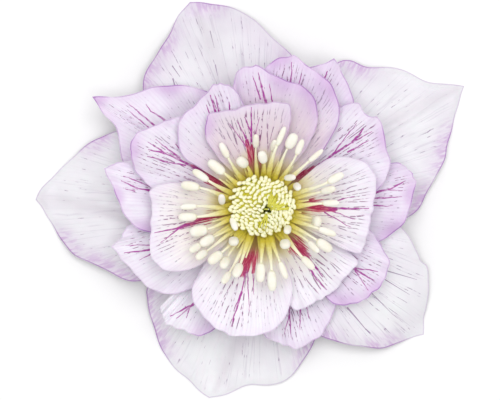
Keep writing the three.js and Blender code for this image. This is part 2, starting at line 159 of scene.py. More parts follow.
def tier_height(tier, radius):
    """The claw's height, plus a rise that slackens with distance, less a shallow dip half-way out."""
    out = radius - CLAW_RADIUS
    rise = TIER_SLOPES[tier] * FLARE * (1 - np.exp(-out / FLARE))
    dip = DISH * np.sin(np.pi * np.clip(out / DISH_REACH, 0, 1))
    return LOWEST_CLAW + tier * TIER_STEP + rise - dip


print("the claws stand", LOWEST_CLAW, "to", round(LOWEST_CLAW + TOP_TIER * TIER_STEP, 2), "mm up")

# %% [markdown]
# Sepals bow to the table
#
# A picked bloom lies on the tips of its sepals, which bend down under its weight. Each is pressed a
# little harder than it needs to reach the table, so that it lies on a short stretch and not a point.

# %% Droop of a sepal
FIRST_PETAL_TIER = 3
DROOP_START, PRESS = 20, 1.5


def droop(tier, tip_radius, radius):
    """How far a blade has sunk. A sepal sinks with the square of its distance past DROOP_START, and
    its tip by the tier's whole height and PRESS more. A petal stays up."""
    if tier >= FIRST_PETAL_TIER:
        return 0 * radius
    past = np.clip((radius - DROOP_START) / (tip_radius - DROOP_START), 0, None)
    return (tier_height(tier, tip_radius) + PRESS) * past ** 2


print("a tip 40 mm out on the lowest tier sinks", round(float(droop(0, 40, 40)), 1), "mm")

# %% [markdown]
# The outlines
#
# No two blades of one bloom are alike: they are lobed, nicked and pushed about by their neighbours,
# and a made-up oval would show at once. So each outline is a short list of points in mm from the axis,
# going clockwise: up one side, round the tip and down the other. Ink is how much colour its fine
# veins carry and blush the lilac in its ground. Shade is how grey a sepal is, and for a petal the two
# distances from the axis between which painted shade makes it warmer, where the petals crowd round the
# head.

# %% Outlines of the sepals
def blade(name, tier, claw, before, tip, after, ink=0.5, blush=0.5, shade=(17, 8)):
    """One sepal or petal. claw is the bearing of its foot in degrees."""
    return dict(name=name, tier=tier, claw=claw, before=before, tip=tip, after=after,
                ink=ink, blush=blush, shade=shade)


SEPALS = [
    blade("sepal_east", 0, 31, tip=(38, 22.8), ink=0.1, blush=0.3, shade=0.8,
          before=[(6.3, 16.7), (10.4, 23.8), (14.1, 27.1), (16.7, 27.5), (20, 26.4), (26, 26),
                  (30.3, 23.9), (34, 23.2)],
          after=[(36.4, 17.8), (35.1, 12.6), (34, 8.5), (31.2, 3.3), (29, -0.6), (24.7, -3.3)]),
    blade("sepal_south", 0, -105, tip=(-9.8, -35.6), ink=0.15, blush=0.2, shade=0.1,
          before=[(8.9, -13.9), (11.5, -19.9), (10, -24.7), (7.8, -28.6), (3.9, -32.8), (-2.2, -33.2),
                  (-7.1, -35.2)],
          after=[(-13, -33), (-17.1, -29), (-19.5, -24.5), (-21.3, -17.6), (-20.8, -14.1),
                 (-14.1, -8.5)]),
    blade("sepal_west", 1, 178, tip=(-42.3, 1.5), ink=0.2, blush=0.25, shade=0.6,
          before=[(-21.5, -13.5), (-24.9, -13.6), (-30.1, -11.1), (-35.4, -8.5), (-37.9, -5.2),
                  (-40.8, -0.6)],
          after=[(-40.6, 4.3), (-37.1, 7.8), (-32.7, 11.7), (-30.4, 13.1), (-26.4, 14.5), (-20.8, 15.6),
                 (-13, 12.6)]),
    blade("sepal_north", 2, 109, tip=(-13.4, 38.5), ink=0.6, blush=0.8, shade=1,
          before=[(-14.8, 9.3), (-20.8, 16.3), (-22.1, 21.9), (-21.3, 26), (-19.1, 29.3), (-17.1, 32.7),
                  (-15.4, 36.4)],
          after=[(-10.6, 38.3), (-7.4, 38), (-3.7, 36.7), (-0.7, 34.5), (3.3, 30.6), (6.3, 27.5),
                 (8, 22.3), (6.7, 16.7)]),
    blade("sepal_southeast", 2, -38, tip=(30.4, -23.8), ink=0.7, blush=0.35, shade=0.3,
          before=[(16.7, 0.2), (22.8, -1.1), (26.5, -4.1), (29.2, -8.4), (29.8, -10), (30.9, -10.9),
                  (31.3, -14.1), (31, -18.6), (30.3, -20.8)],
          after=[(27.1, -24.7), (22.6, -26.2), (16.7, -25.6), (11, -23.9), (7.1, -21.2), (3.9, -16.1)]),
]
print(len(SEPALS), "sepals")

# %% Outlines of the petals
PETALS = [
    blade("outer_petal_northwest", 3, 147, tip=(-31.4, 20.6), ink=0.3, blush=0.58,
          before=[(-17.4, 0.4), (-23.9, 4.6), (-26.2, 10.4), (-26.9, 14.7), (-29.5, 17.6)],
          after=[(-25.4, 20.8), (-20.4, 22.3), (-15.2, 22.8), (-10.4, 21.7), (-6.9, 19.7), (-4.8, 15.6)]),
    blade("outer_petal_north", 3, 65, tip=(13.4, 27.7), ink=0.4, blush=0.8,
          before=[(-1.1, 12.6), (1.1, 21), (5.2, 25.2), (10.4, 26.4)],
          after=[(15.4, 24.3), (17.1, 19.5), (16.1, 13.7), (11.5, 7.4)]),
    blade("outer_petal_east", 3, 3, tip=(28.7, 5.1), ink=0.4, blush=0.72,
          before=[(20.4, 7.6), (25.1, 8.4), (27.3, 7.1)],
          after=[(27.9, 1.5), (26.5, -2.6), (22.8, -5.8), (18.6, -7.2), (13.4, -5.6)]),
    blade("outer_petal_south", 3, -68, tip=(6.5, -26.3), ink=0.6, blush=0.45,
          before=[(11.5, -12.2), (13.9, -15.4), (13.4, -19.3), (10.8, -23.8)],
          after=[(3.3, -25.1), (0.4, -23.6), (0, -20.4)]),
    blade("outer_petal_southwest", 3, -122, tip=(-17.8, -21.6), ink=0.2, blush=0.08,
          before=[(-6.3, -20.8), (-11, -23.7), (-14.8, -22.6)],
          after=[(-18.9, -18.4)]),
    blade("outer_petal_northeast", 4, 40, tip=(21.3, 16.9), ink=0.65, blush=0.5,
          before=[(9.8, 14.8), (14.1, 18.4), (17.6, 19.5), (19.3, 17.3)],
          after=[(22.6, 14.5), (23, 11.5), (23.8, 8), (22.5, 4.6), (19.7, 2), (14.1, 1.1)]),
    blade("outer_petal_southeast", 4, -30, tip=(22.1, -14.5), ink=0.7, blush=0.6,
          before=[(15, -0.9), (19.9, -3.9), (22.5, -7.6), (23.6, -10), (23.2, -12.2)],
          after=[(18.9, -17.1), (16.3, -17.9), (13.4, -17.8), (11.1, -15.6)]),
    blade("outer_petal_west", 4, -160, tip=(-27.8, -7.2), ink=0.3, blush=0.25,
          before=[(-12.2, -14.7), (-16.7, -16), (-20.8, -14.8), (-24.5, -11)],
          after=[(-26, -5.4), (-24.7, -3.3), (-21.2, -1.7)]),
    blade("middle_petal_southeast", 5, -50, tip=(13.4, -15.4), ink=0.85, blush=0.15,
          before=[(10.8, -4.6), (14.7, -7.2), (17.7, -9.8), (16, -12.2)],
          after=[(10, -17.4), (6.7, -18.9), (4.8, -17.6)]),
    blade("middle_petal_northeast", 5, 72, tip=(5.9, 28.2), ink=0.8, blush=0.9, shade=(24, 15),
          before=[(-2.2, 13), (-1.5, 20.4), (0.4, 25.4), (3, 27.5)],
          after=[(8.7, 26.1), (12.1, 23.6), (14.1, 19.9), (14.1, 15.6), (10.8, 9.5)]),
    blade("middle_petal_west", 5, 176, tip=(-29.1, 7.3), ink=0.3, blush=0.5,
          before=[(-14.8, -3.9), (-20.8, -4.5), (-24.7, -2.2), (-26.9, 2.4)],
          after=[(-26.4, 8.4), (-22.6, 8.7), (-18.9, 7.8)]),
    blade("inner_petal_south", 6, -102, tip=(-6.1, -23.5), ink=0.65, blush=0.22,
          before=[(4.3, -10), (5.7, -14.3), (4.5, -19.9), (1.1, -23), (-2.6, -23.6)],
          after=[(-9.8, -21), (-12.6, -17.1), (-12.6, -14.1), (-10, -9.3)]),
    blade("middle_petal_north", 6, 84, tip=(-1.1, 26.3), ink=0.3, blush=0.8, shade=(25, 15),
          before=[(-4.6, 14.8), (-5.2, 20), (-5.2, 23), (-4.1, 25.5)],
          after=[(3.5, 23.9), (8.2, 22), (10, 19.3), (10.2, 15.2), (8.2, 10.8)]),
    blade("middle_petal_northwest", 6, 152, tip=(-24.2, 10.8), ink=0.7, blush=0.5,
          before=[(-14.1, 0.4), (-17.8, 2), (-20.6, 3.9), (-23.4, 7.1)],
          after=[(-23.4, 13.4), (-19.7, 15.2), (-15.2, 16.8), (-12.2, 16)]),
    blade("inner_petal_east", 6, 2, tip=(20.6, 0.2), ink=0.95, blush=0.25,
          before=[(10.2, 7.8), (13, 9.3), (17.4, 9.1), (20.2, 7.4), (21.1, 4.3)],
          after=[(19.7, -4.1), (18.8, -7.1), (18, -8.4), (15.4, -7.8)]),
    blade("inner_petal_west", 7, -165, tip=(-20.5, -5), ink=0.6, blush=0.26, shade=(23, 9),
          before=[(-7.4, -7.4), (-11.9, -10.8), (-16.3, -11.7), (-19.5, -10.2), (-20.5, -7.6)],
          after=[(-20.2, 0.2), (-20.5, 3.3), (-17.4, 4.6), (-13.7, 4.8)]),
    blade("inner_petal_northwest", 7, 117, tip=(-8.9, 22.7), ink=0.5, blush=0.55, shade=(20, 8),
          before=[(-11.1, 7.1), (-14.5, 9.5), (-15.5, 13.5), (-14.5, 16.9), (-11.5, 19.7)],
          after=[(-6.5, 22.7), (-4.5, 21.3), (-3, 18.6)]),
    blade("inner_petal_north", 8, 95, tip=(-2, 19), ink=0.95, blush=0.45, shade=(25, 12),
          before=[(-7.8, 8.9), (-10.2, 12.6), (-10.2, 15.8), (-9.5, 17.4), (-6.1, 17.9)],
          after=[(1.1, 19.3), (4.8, 19.2), (5.4, 17.1), (4.8, 13.4), (3.7, 10.2)]),
]
print(len(PETALS), "petals")

# %% [markdown]
# Where the crimson sits
#
# A hellebore's deep colour follows its veins. On seven petals a crimson wedge stands on the midrib,
# where the petal narrows to its claw. Wedges are painted one by one, because the eye goes to them first.
# A stroke is five numbers: where it starts, where it ends and its half width, in mm from the axis.

# %% Wedges
WEDGES = {
    "inner_petal_north": [(-0.9, 5.9, -1.9, 11.2, 0.75), (-1.7, 8.9, -2.8, 12.4, 0.35)],
    "outer_petal_northeast": [(5.9, 5, 9.8, 7.3, 0.6)],
    "inner_petal_east": [(6.7, 0.1, 10.8, 0.3, 0.65), (9.6, 0.4, 13.6, -0.2, 0.62)],
    "middle_petal_southeast": [(5, -5.4, 7.2, -7.8, 0.65), (6.3, -6.9, 8.6, -9, 0.7)],
    "inner_petal_south": [(-1.2, -5.4, -2.4, -9.2, 0.9), (-2, -8.2, -3.4, -12.2, 0.75),
        (-1, -7.8, -1.6, -12, 0.3)],
    "inner_petal_west": [(-7.2, -0.9, -11, -2, 0.35), (-9.8, -1.9, -15.2, -3.8, 0.42)],
    "middle_petal_northwest": [(-5.2, 2.8, -10, 5, 0.6), (-7.1, 5, -12.6, 7.6, 0.6)],
}
print(sum(map(len, WEDGES.values())), "strokes in", len(WEDGES), "wedges")

# %% [markdown]
# Strong veins
#
# Out of the wedge run magenta veins that fork on their way to the rim. These few are strokes too. The
# many fine veins between them come from a formula later on.

# %% Strong veins
VEINS = {
    "inner_petal_north": [(-1.9, 12.2, -1.9, 18.4, 0.17), (-2, 14.1, -3.1, 16.6, 0.14),
        (-2.5, 12, -4.6, 16, 0.12), (-2.9, 11.4, -5.9, 15.4, 0.1), (-1.4, 12.2, -0.4, 16.6, 0.09)],
    "outer_petal_northeast": [(9.5, 7.1, 12.6, 9.5, 0.24), (12.6, 9.5, 16.9, 12.2, 0.22),
        (16.9, 12.2, 18.9, 14.8, 0.19), (16.9, 12.2, 20.4, 14.1, 0.14), (16, 10.4, 19.8, 12.4, 0.14),
        (12.9, 9.6, 17.6, 15.6, 0.11)],
    "inner_petal_east": [(13.2, -0.1, 19.7, -0.1, 0.19), (12.6, 0.9, 17.2, 2.2, 0.12),
        (13, -0.6, 17.2, -2.2, 0.11), (11.6, -0.9, 16.4, -3.6, 0.1)],
    "middle_petal_southeast": [(8, -8.7, 8.9, -11.2, 0.12), (8.9, -11.2, 10.2, -13.2, 0.2),
        (10.2, -13.2, 12, -15.2, 0.16), (9.7, -10.6, 11.2, -12.8, 0.15), (8.6, -9, 10.6, -11.6, 0.12)],
    "inner_petal_south": [(-2.9, -12, -3.7, -15.6, 0.19), (-3.7, -15.6, -5.6, -21.8, 0.17),
        (-2.6, -11.5, -2.3, -19, 0.11), (-3.7, -15.6, -5.2, -18.9, 0.11), (-1.6, -12, -1.5, -16, 0.1)],
    "inner_petal_west": [(-15, -3.7, -19.7, -4.6, 0.15), (-15.2, -3.8, -18.6, -6.4, 0.1),
        (-8.9, -1.2, -12.2, -1.7, 0.12)],
    "middle_petal_northwest": [(-12.4, 7.5, -17.8, 10, 0.24), (-17.8, 10, -20.9, 10.7, 0.17),
        (-15.2, 9.2, -19.5, 12.6, 0.17), (-17.8, 10, -21, 12.2, 0.12), (-14.2, 9.9, -15.9, 11.8, 0.15),
        (-14.1, 7.8, -17.4, 8.4, 0.13), (-17.4, 8.4, -21, 9.5, 0.14)],
    "middle_petal_west": [(-19.8, 3.1, -22.9, 3.6, 0.22), (-22.9, 3.6, -25.9, 5, 0.15),
        (-19.8, 3.6, -25.5, 5.9, 0.12), (-23.4, 3.1, -25.2, 3.5, 0.11)],
    "outer_petal_west": [(-20, -7.7, -25.4, -8.3, 0.19), (-20.4, -6.9, -25.2, -6.9, 0.09),
        (-20.6, -8.6, -22.6, -9.7, 0.1)],
    "outer_petal_northwest": [(-19.4, 14.9, -24.5, 19.1, 0.14), (-18, 16.3, -20.5, 17.9, 0.17),
        (-20.5, 17.9, -21.5, 19.3, 0.1), (-21, 15, -24.9, 18.2, 0.1)],
    "inner_petal_northwest": [(-8.4, 17, -9.4, 20.7, 0.2), (-7.8, 17.2, -8.5, 20.5, 0.14),
        (-9.2, 16.6, -10.2, 18.9, 0.13), (-5.8, 18, -6, 19.5, 0.11)],
    "middle_petal_north": [(0.9, 18.7, 0, 22.3, 0.24), (0, 22.3, -0.6, 24.9, 0.17),
        (-0.2, 20, -1.7, 24.3, 0.13), (2, 19.3, 1.5, 22.8, 0.13)],
    "middle_petal_northeast": [(5.4, 22.2, 5.6, 26.9, 0.15), (6.5, 21.8, 7.4, 24.7, 0.1)],
    "outer_petal_north": [(10.9, 22.6, 12.2, 25.3, 0.18), (10.2, 22.4, 10.8, 24.7, 0.12)],
    "outer_petal_east": [(19.8, 2.4, 24.2, 3.7, 0.23), (24.2, 3.7, 26.7, 5, 0.13),
        (23.4, 3.4, 26, 3.2, 0.1), (19.8, 1.6, 26, 2.1, 0.15), (19.8, 0.4, 24.4, 0.4, 0.13)],
    "outer_petal_southeast": [(16.3, -10.8, 20.9, -13.5, 0.17), (17, -11.1, 19.7, -15.2, 0.13),
        (17, -11, 21.5, -11.8, 0.13)],
    "outer_petal_south": [(5, -17.9, 5.5, -24, 0.14), (5.2, -19.5, 4.2, -23.6, 0.1),
        (7.2, -18.9, 7.1, -22.6, 0.13), (8.3, -17.9, 8.8, -20.6, 0.11)],
    "outer_petal_southwest": [(-12, -17.2, -13.7, -18.8, 0.26), (-13.7, -18.8, -15.8, -20.6, 0.13),
        (-13.3, -18.2, -16.9, -20.2, 0.15), (-13.2, -18.2, -13.9, -20.4, 0.13)],
    "sepal_north": [(-16.5, 24, -15.9, 22, 0.12), (-16.6, 26.4, -15.2, 24.4, 0.1),
        (-8.6, 26.6, -8.2, 24.6, 0.11), (-9.6, 33, -8.8, 29.8, 0.08)],
    "sepal_southeast": [(16, -18.6, 19.4, -22.6, 0.14), (19.4, -22.6, 20.4, -23.4, 0.1),
        (23.2, -11.7, 29, -13.4, 0.1), (22.4, -13, 27.6, -16.2, 0.09), (20, -15.4, 24.6, -20, 0.09)],
}
print(sum(map(len, VEINS.values())), "strong veins on", len(VEINS), "blades")

# %% [markdown]
# Patches and creases
#
# Purple gathers in soft patches along the edges that the sun reached in the bud: each is the middle of
# a circle and its reach. Four sepals also keep creases from the bud. A crease is a straight line with
# its depth and its width, and it is both pressed into the shape and shaded in the finish.

# %% Patches and creases
EDGE_PATCHES = {
    "sepal_north": [(-22, 23.5, 8), (-18.5, 31, 6), (7.6, 24.5, 9), (-10, 38.2, 6)],
    "sepal_east": [(17.3, 27, 7), (34.9, 10.8, 8), (30.3, 0.6, 7)],
    "sepal_west": [(-36.5, -7.2, 6), (-30, -11.5, 7), (-24.5, -13.8, 9), (-31, 12.8, 5)],
    "sepal_south": [(-20.8, -15.5, 9), (-19.4, -24, 7), (9.8, -26, 8)],
    "sepal_southeast": [(22.8, -26, 6), (12.6, -25.2, 6)],
    "inner_petal_north": [(-10, 15.2, 3.2)],
    "middle_petal_north": [(9, 20.6, 6), (3.6, 22.4, 4)],
    "middle_petal_northeast": [(3, 27.4, 3.5), (12.4, 22, 5)],
    "middle_petal_northwest": [(-23.8, 11, 3.5)],
    "middle_petal_west": [(-21, -4.4, 4), (-27, 2.4, 2.5)],
    "outer_petal_southeast": [(15, -17.6, 6), (21.5, -15.8, 4)],
    "outer_petal_southwest": [(-9, -22.6, 6)],
    "outer_petal_east": [(27.8, 2.6, 3), (25, -4.6, 5)],
    "outer_petal_northeast": [(22.8, 12.8, 4), (19, 2.2, 5)],
    "outer_petal_northwest": [(-17, 22.6, 4), (-8.5, 20.2, 5), (-30.6, 20.4, 3)],
    "outer_petal_north": [(16.6, 15, 5)],
}
CREASES = {
    "sepal_west": [(-41, 1.4, -23, -1.2, 0.3, 0.7), (-31, -0.3, -23, -2.9, 0.25, 0.6)],
    "sepal_east": [(16, 12.4, 36.5, 22.2, 0.22, 0.9)],
    "sepal_south": [(-3, -22, -8.6, -34, 0.1, 0.8)],
    "sepal_north": [(-6, 22, -12, 36.5, 0.1, 0.8)],
}
print(sum(map(len, EDGE_PATCHES.values())), "patches and", sum(map(len, CREASES.values())), "creases")

# %% [markdown]
# From a few points to a rim
#
# An outline needs only the points where it turns. The curve between two of them is a cubic: it
# passes through both, and its slope at each comes from their neighbours, so no corner shows. The same
# cubic will bend the stamens later.

# %% A curve through points
FINE_STEPS = 40


def cubic(t, start, leaving, end, arriving):
    """The cubic from start to end, for t from 0 to 1, that leaves and arrives with two given slopes."""
    return (start * (2 * t**3 - 3 * t**2 + 1) + leaving * (t**3 - 2 * t**2 + t)
            + end * (3 * t**2 - 2 * t**3) + arriving * (t**3 - t**2))


def travel(line):
    """The distance walked along a bent line at each of its points: a running sum of step lengths."""
    return np.concatenate([[0], np.cumsum(np.linalg.norm(np.diff(line, axis=0), axis=1))])


def rim_curve(points, count):
    """A smooth curve through the points, cut into even steps. The slope at a point is half the step
    from the point before it to the point after it."""
    points = np.array(points, dtype=float)
    p = np.vstack([2 * points[0] - points[1], points, 2 * points[-1] - points[-2]])
    t = np.linspace(0, 1, FINE_STEPS, endpoint=False)[None, :, None]
    a, b, c, d = (p[k:len(p) - 3 + k, None, :] for k in range(4))
    fine = cubic(t, b, (c - a) / 2, c, (d - b) / 2)
    fine = np.vstack([fine.reshape(-1, 2), points[-1]])
    travelled = travel(fine)
    even = np.linspace(0, travelled[-1], count + 1)
    return np.stack([np.interp(even, travelled, fine[:, k]) for k in range(2)], axis=1)


print("a rim of 8 steps:", rim_curve([(0, 0), (4, 3), (8, 0)], 8).round(1).tolist())

# %% [markdown]
# A blade is a fan
#
# Rays leave its narrow claw at the receptacle and end on the rim, so a point in it is named by two
# numbers: across, from one side of the fan to the other, and along, from claw to rim. Veins follow
# the same rays, which is why the fan is a better grid here than a square one. Fine rims ask for fine
# steps, so the steps along a ray get shorter towards the rim.

# %% Rays of a blade
RIM_CROWDING = 1.5
WORN = 0.1


def polar(bearing, radius, height=0.0):
    """Points at a bearing in degrees and a radius from the axis: radius times cosine and sine."""
    bearing, radius, height = np.broadcast_arrays(np.radians(bearing), radius, height)
    return np.stack([radius * np.cos(bearing), radius * np.sin(bearing), height], axis=-1)


def blade_plan(blade, claw_width, across_steps, along_steps):
    """The blade from above. A point is the claw's end of its ray plus along times the whole ray. Two
    sine waves push the rim in and out by a tenth of a mm or so, as on a petal that has been handled,
    and it is held inside the solids' box."""
    before = rim_curve([*blade["before"], blade["tip"]], across_steps // 2)
    after = rim_curve([blade["tip"], *blade["after"]], across_steps // 2)
    rim = np.vstack([before, after[1:]])
    across = np.linspace(0, 1, across_steps + 1)[:, None]
    worn = np.sin(71 * across + blade["claw"]) + 0.7 * np.sin(43 * across - blade["claw"])
    rim = rim * (1 + WORN * worn * np.sin(np.pi * across) / np.linalg.norm(rim, axis=1, keepdims=True))
    rim = np.clip(rim, *(np.array(corner)[:2] / MM - AXIS[:2] for corner in solid_box))
    along = 1 - (1 - np.linspace(0, 1, along_steps + 1)[None, :]) ** RIM_CROWDING
    half_angle = np.degrees(claw_width / 2 / CLAW_RADIUS)
    start = polar(blade["claw"] + half_angle * (1 - 2 * across), CLAW_RADIUS - SEAM)[..., :2]
    plan = start + (rim[:, None, :] - start) * along[..., None]
    return rim, across + 0 * along, along + 0 * across, plan


print("steps along a ray of 10 mm:", (10 * np.diff(blade_plan(SEPALS[0], 4, 2, 6)[2][0])).round(1))

# %% [markdown]
# Ruffles
#
# Petals are soft. They ripple where they grew faster at the rim than in the middle, turn up at both
# sides and curl at the very edge. A cloth simulation could give such folds, but a few sine waves do it
# at once and stay clear of the blades above and below.

# %% Ruffles and groove
RUFFLE, RIPPLE, FRILL = 0.5, 0.25, 0.1
RUFFLE_START, RUFFLE_FULL = 8, 22
SPOON, RECURVE = 0.35, 0.15
GROOVE_DEPTH, GROOVE_WIDTH = 0.25, 0.5


def smooth_step(low, high, value):
    """0 below low, 1 above high, and an S-shaped cubic between them."""
    t = np.clip((value - low) / (high - low), 0, 1)
    return t * t * (3 - 2 * t)


def ruffles(across, along, radius, phase):
    """Three sine waves from side to side, each finer and lower than the one before, plus a parabola
    that lifts both sides, less a curl in the last quarter of the ray. All grow with the radius."""
    wave = RUFFLE * np.sin(2 * np.pi * (1.5 * across + phase))
    side = SPOON * (2 * across - 1) ** 2
    curl = RECURVE * np.clip(4 * along - 3, 0, None) ** 2
    ripple = RIPPLE * np.sin(2 * np.pi * (4 * across + 3 * phase) + 3 * along) * smooth_step(0.3, 1, along)
    frill = FRILL * np.sin(2 * np.pi * (9 * across + 7 * phase) - 4 * along) * smooth_step(0.6, 1, along)
    return smooth_step(RUFFLE_START, RUFFLE_FULL, radius) * (wave + side - curl + ripple + frill)


def groove(midrib_gap, along):
    """A furrow down the midrib: a bell curve across it, which fades out at the claw and at the tip."""
    furrow = GROOVE_DEPTH * np.exp(-(midrib_gap / GROOVE_WIDTH) ** 2)
    return furrow * smooth_step(0.1, 0.3, along) * (1 - smooth_step(0.7, 1, along))


print("the rim rises and falls by up to", round(RUFFLE + RIPPLE + FRILL, 2), "mm")

# %% [markdown]
# A rim thin as paper
#
# Real petals thin out towards the rim, and the light shows it at once, so the two faces draw together
# there. Distances to the rim and to a crease are measured to a bent line of many short pieces. No
# face may sink through the table, and a soft maximum lifts it clear without leaving a fold.

# %% Blade surface
HALF_BLADE, RIM_SHARE, RIM_WIDTH = 0.2, 0.35, 1.5
TABLE_SOFTNESS = 0.25
FAN_FIELDS = ("sweep", "narrowing", "along", "rim_gap", "midrib_gap")


def distance_to_line(points, line):
    """Shortest distance from each point to a bent line: to the nearest place on each of its straight
    pieces, which is the foot of the perpendicular held between the piece's two ends."""
    start, step = line[:-1], np.diff(line, axis=0)
    offset = points[..., None, :] - start
    foot = np.clip((offset * step).sum(-1) / (step * step).sum(-1), 0, 1)
    return np.linalg.norm(offset - foot[..., None] * step, axis=-1).min(-1)


def soft_max(a, b, softness):
    """The larger of two numbers, blended near equality: softness times log(exp(a/s) + exp(b/s))."""
    return softness * np.logaddexp(a / softness, b / softness)


def blade_fields(blade, claw_width, across_steps, along_steps, phase):
    """Grids for one blade. Middle is the tier's bowl less the droop, plus ruffles, less the groove and
    the creases. Half is half the thickness, measured upright. Sweep is the distance along the rim at
    which a ray ends, and narrowing is how wide one mm of rim still is nearer the claw."""
    rim, across, along, plan = blade_plan(blade, claw_width, across_steps, along_steps)
    radius = np.linalg.norm(plan, axis=-1)
    rim_gap = distance_to_line(plan, rim)
    travelled = travel(rim)
    sweep = travelled[:, None] + 0 * along
    narrowing = np.linalg.norm(np.gradient(plan, travelled, axis=0), axis=-1)
    midrib_gap = (sweep - travelled[across_steps // 2]) * narrowing
    tier = blade["tier"]
    middle = tier_height(tier, radius) - droop(tier, np.hypot(*blade["tip"]), radius)
    middle = middle + ruffles(across, along, radius, phase) - groove(midrib_gap, along)
    for *ends, depth, width in CREASES.get(blade["name"], []):
        gap = distance_to_line(plan, np.reshape(ends, (2, 2)))
        middle = middle - depth * np.exp(-(gap / width) ** 2)
    slope = tier_height(tier, radius + 0.5) - tier_height(tier, radius - 0.5)
    thinning = RIM_SHARE + (1 - RIM_SHARE) * smooth_step(0, RIM_WIDTH, rim_gap)
    half = HALF_BLADE * thinning * np.hypot(1, slope)
    middle = soft_max(middle, half, TABLE_SOFTNESS)
    return dict(plan=plan, middle=middle, half=half, sweep=sweep, narrowing=narrowing, along=along,
                rim_gap=rim_gap, midrib_gap=midrib_gap)


print("a blade is", 2 * HALF_BLADE, "mm thick and", round(2 * HALF_BLADE * RIM_SHARE, 2), "mm at its rim")

# %% [markdown]
# Two faces and an edge
#
# The upper and the lower face are the same grid at two heights. A strip of faces round their border
# closes them into one skin, which light needs if it is to soak in and come out again.

# %% Skin of a blade
SHARPEST_SMOOTH_EDGE = 50


def closed_sheet(upper, lower):
    """Two grids of points as one closed skin: both faces, and a strip round their shared border."""
    rows, columns = upper.shape[:2]
    index = np.arange(rows * columns).reshape(rows, columns)
    faces = grid_faces(rows, columns)
    border = np.concatenate([index[0, :-1], index[:-1, -1], index[-1, :0:-1], index[:0:-1, 0]])
    following = np.roll(border, -1)
    shift = rows * columns
    strip = np.stack([border, following, following + shift, border + shift], axis=1)
    points = np.vstack([upper.reshape(-1, 3), lower.reshape(-1, 3)])
    return points, np.vstack([faces[:, ::-1], faces + shift, strip]).tolist()


def make_blade(blade, claw_width, steps, phase, material):
    """One finished sepal or petal, with its fan numbers stored at its points for the material."""
    f = blade_fields(blade, claw_width, *steps, phase)
    upper = np.dstack([f["plan"], f["middle"] + f["half"]])
    lower = np.dstack([f["plan"], f["middle"] - f["half"]])
    points, faces = closed_sheet(upper, lower)
    fields = {key: np.tile(f[key].ravel(), 2) for key in FAN_FIELDS}
    fields["underside"] = np.repeat([0.0, 1.0], f["along"].size)
    mesh = make_mesh(blade["name"], points, faces, fields)
    mesh.set_sharp_from_angle(angle=np.radians(SHARPEST_SMOOTH_EDGE))
    add_piece(blade["name"] + "_blade", mesh, material, blade["name"])


print("two sheets of one face close with", len(closed_sheet(*np.zeros((2, 2, 2, 3)))[1]) - 2, "more")

# %% [markdown]
# Writing a material as arithmetic
#
# A procedural material is a formula for the colour at each point. Wiring it up by hand in the node
# editor is slow to read later, so this small class lets a formula be written as one: adding two
# numbers that vary over the surface makes the Math node that adds them. Each sign is the same method
# with the name of its operation filled in.

# %% Values
class Value:
    """The output of a node. Arithmetic on it adds Math nodes to its material."""

    def __init__(self, finish, socket):
        self.finish, self.socket = finish, socket

    def math(self, operation, *others):
        inputs = dict(enumerate([self, *others]))
        return self.finish.node("ShaderNodeMath", dict(operation=operation), inputs)

    __add__ = __radd__ = partialmethod(math, "ADD")
    __mul__ = __rmul__ = partialmethod(math, "MULTIPLY")
    __sub__ = partialmethod(math, "SUBTRACT")
    __rsub__ = partialmethod(math, "MULTIPLY_ADD", -1.0)
    __truediv__ = partialmethod(math, "DIVIDE")
    __abs__ = partialmethod(math, "ABSOLUTE")
    floor = partialmethod(math, "FLOOR")
    greatest = partialmethod(math, "MAXIMUM")

    def step(self, low, high):
        """0 before low and 1 after high, with an S-shaped rise between them. High may be the lower one."""
        settings = dict(interpolation_type="SMOOTHSTEP")
        return self.finish.node("ShaderNodeMapRange", settings, {0: self, 1: low, 2: high})


def largest(masks):
    """The largest of several masks, or None where there are none."""
    return reduce(Value.greatest, masks) if masks else None


print("operations that make Math nodes:", sum(isinstance(v, partialmethod) for v in vars(Value).values()))

# %% [markdown]
# A finish is laid on in coats
#
# A painter starts from a ground and lays one thin colour over another, each through its own mask. The
# class below works the same way: it keeps the colour so far, and every coat mixes one more over it.
# Petals are full of water and let light in, so a share of it soaks through under the surface.

# %% Finishes
SOAK_DEPTH = 0.0005
SOAK_TINT = (1.0, 0.8, 0.9)


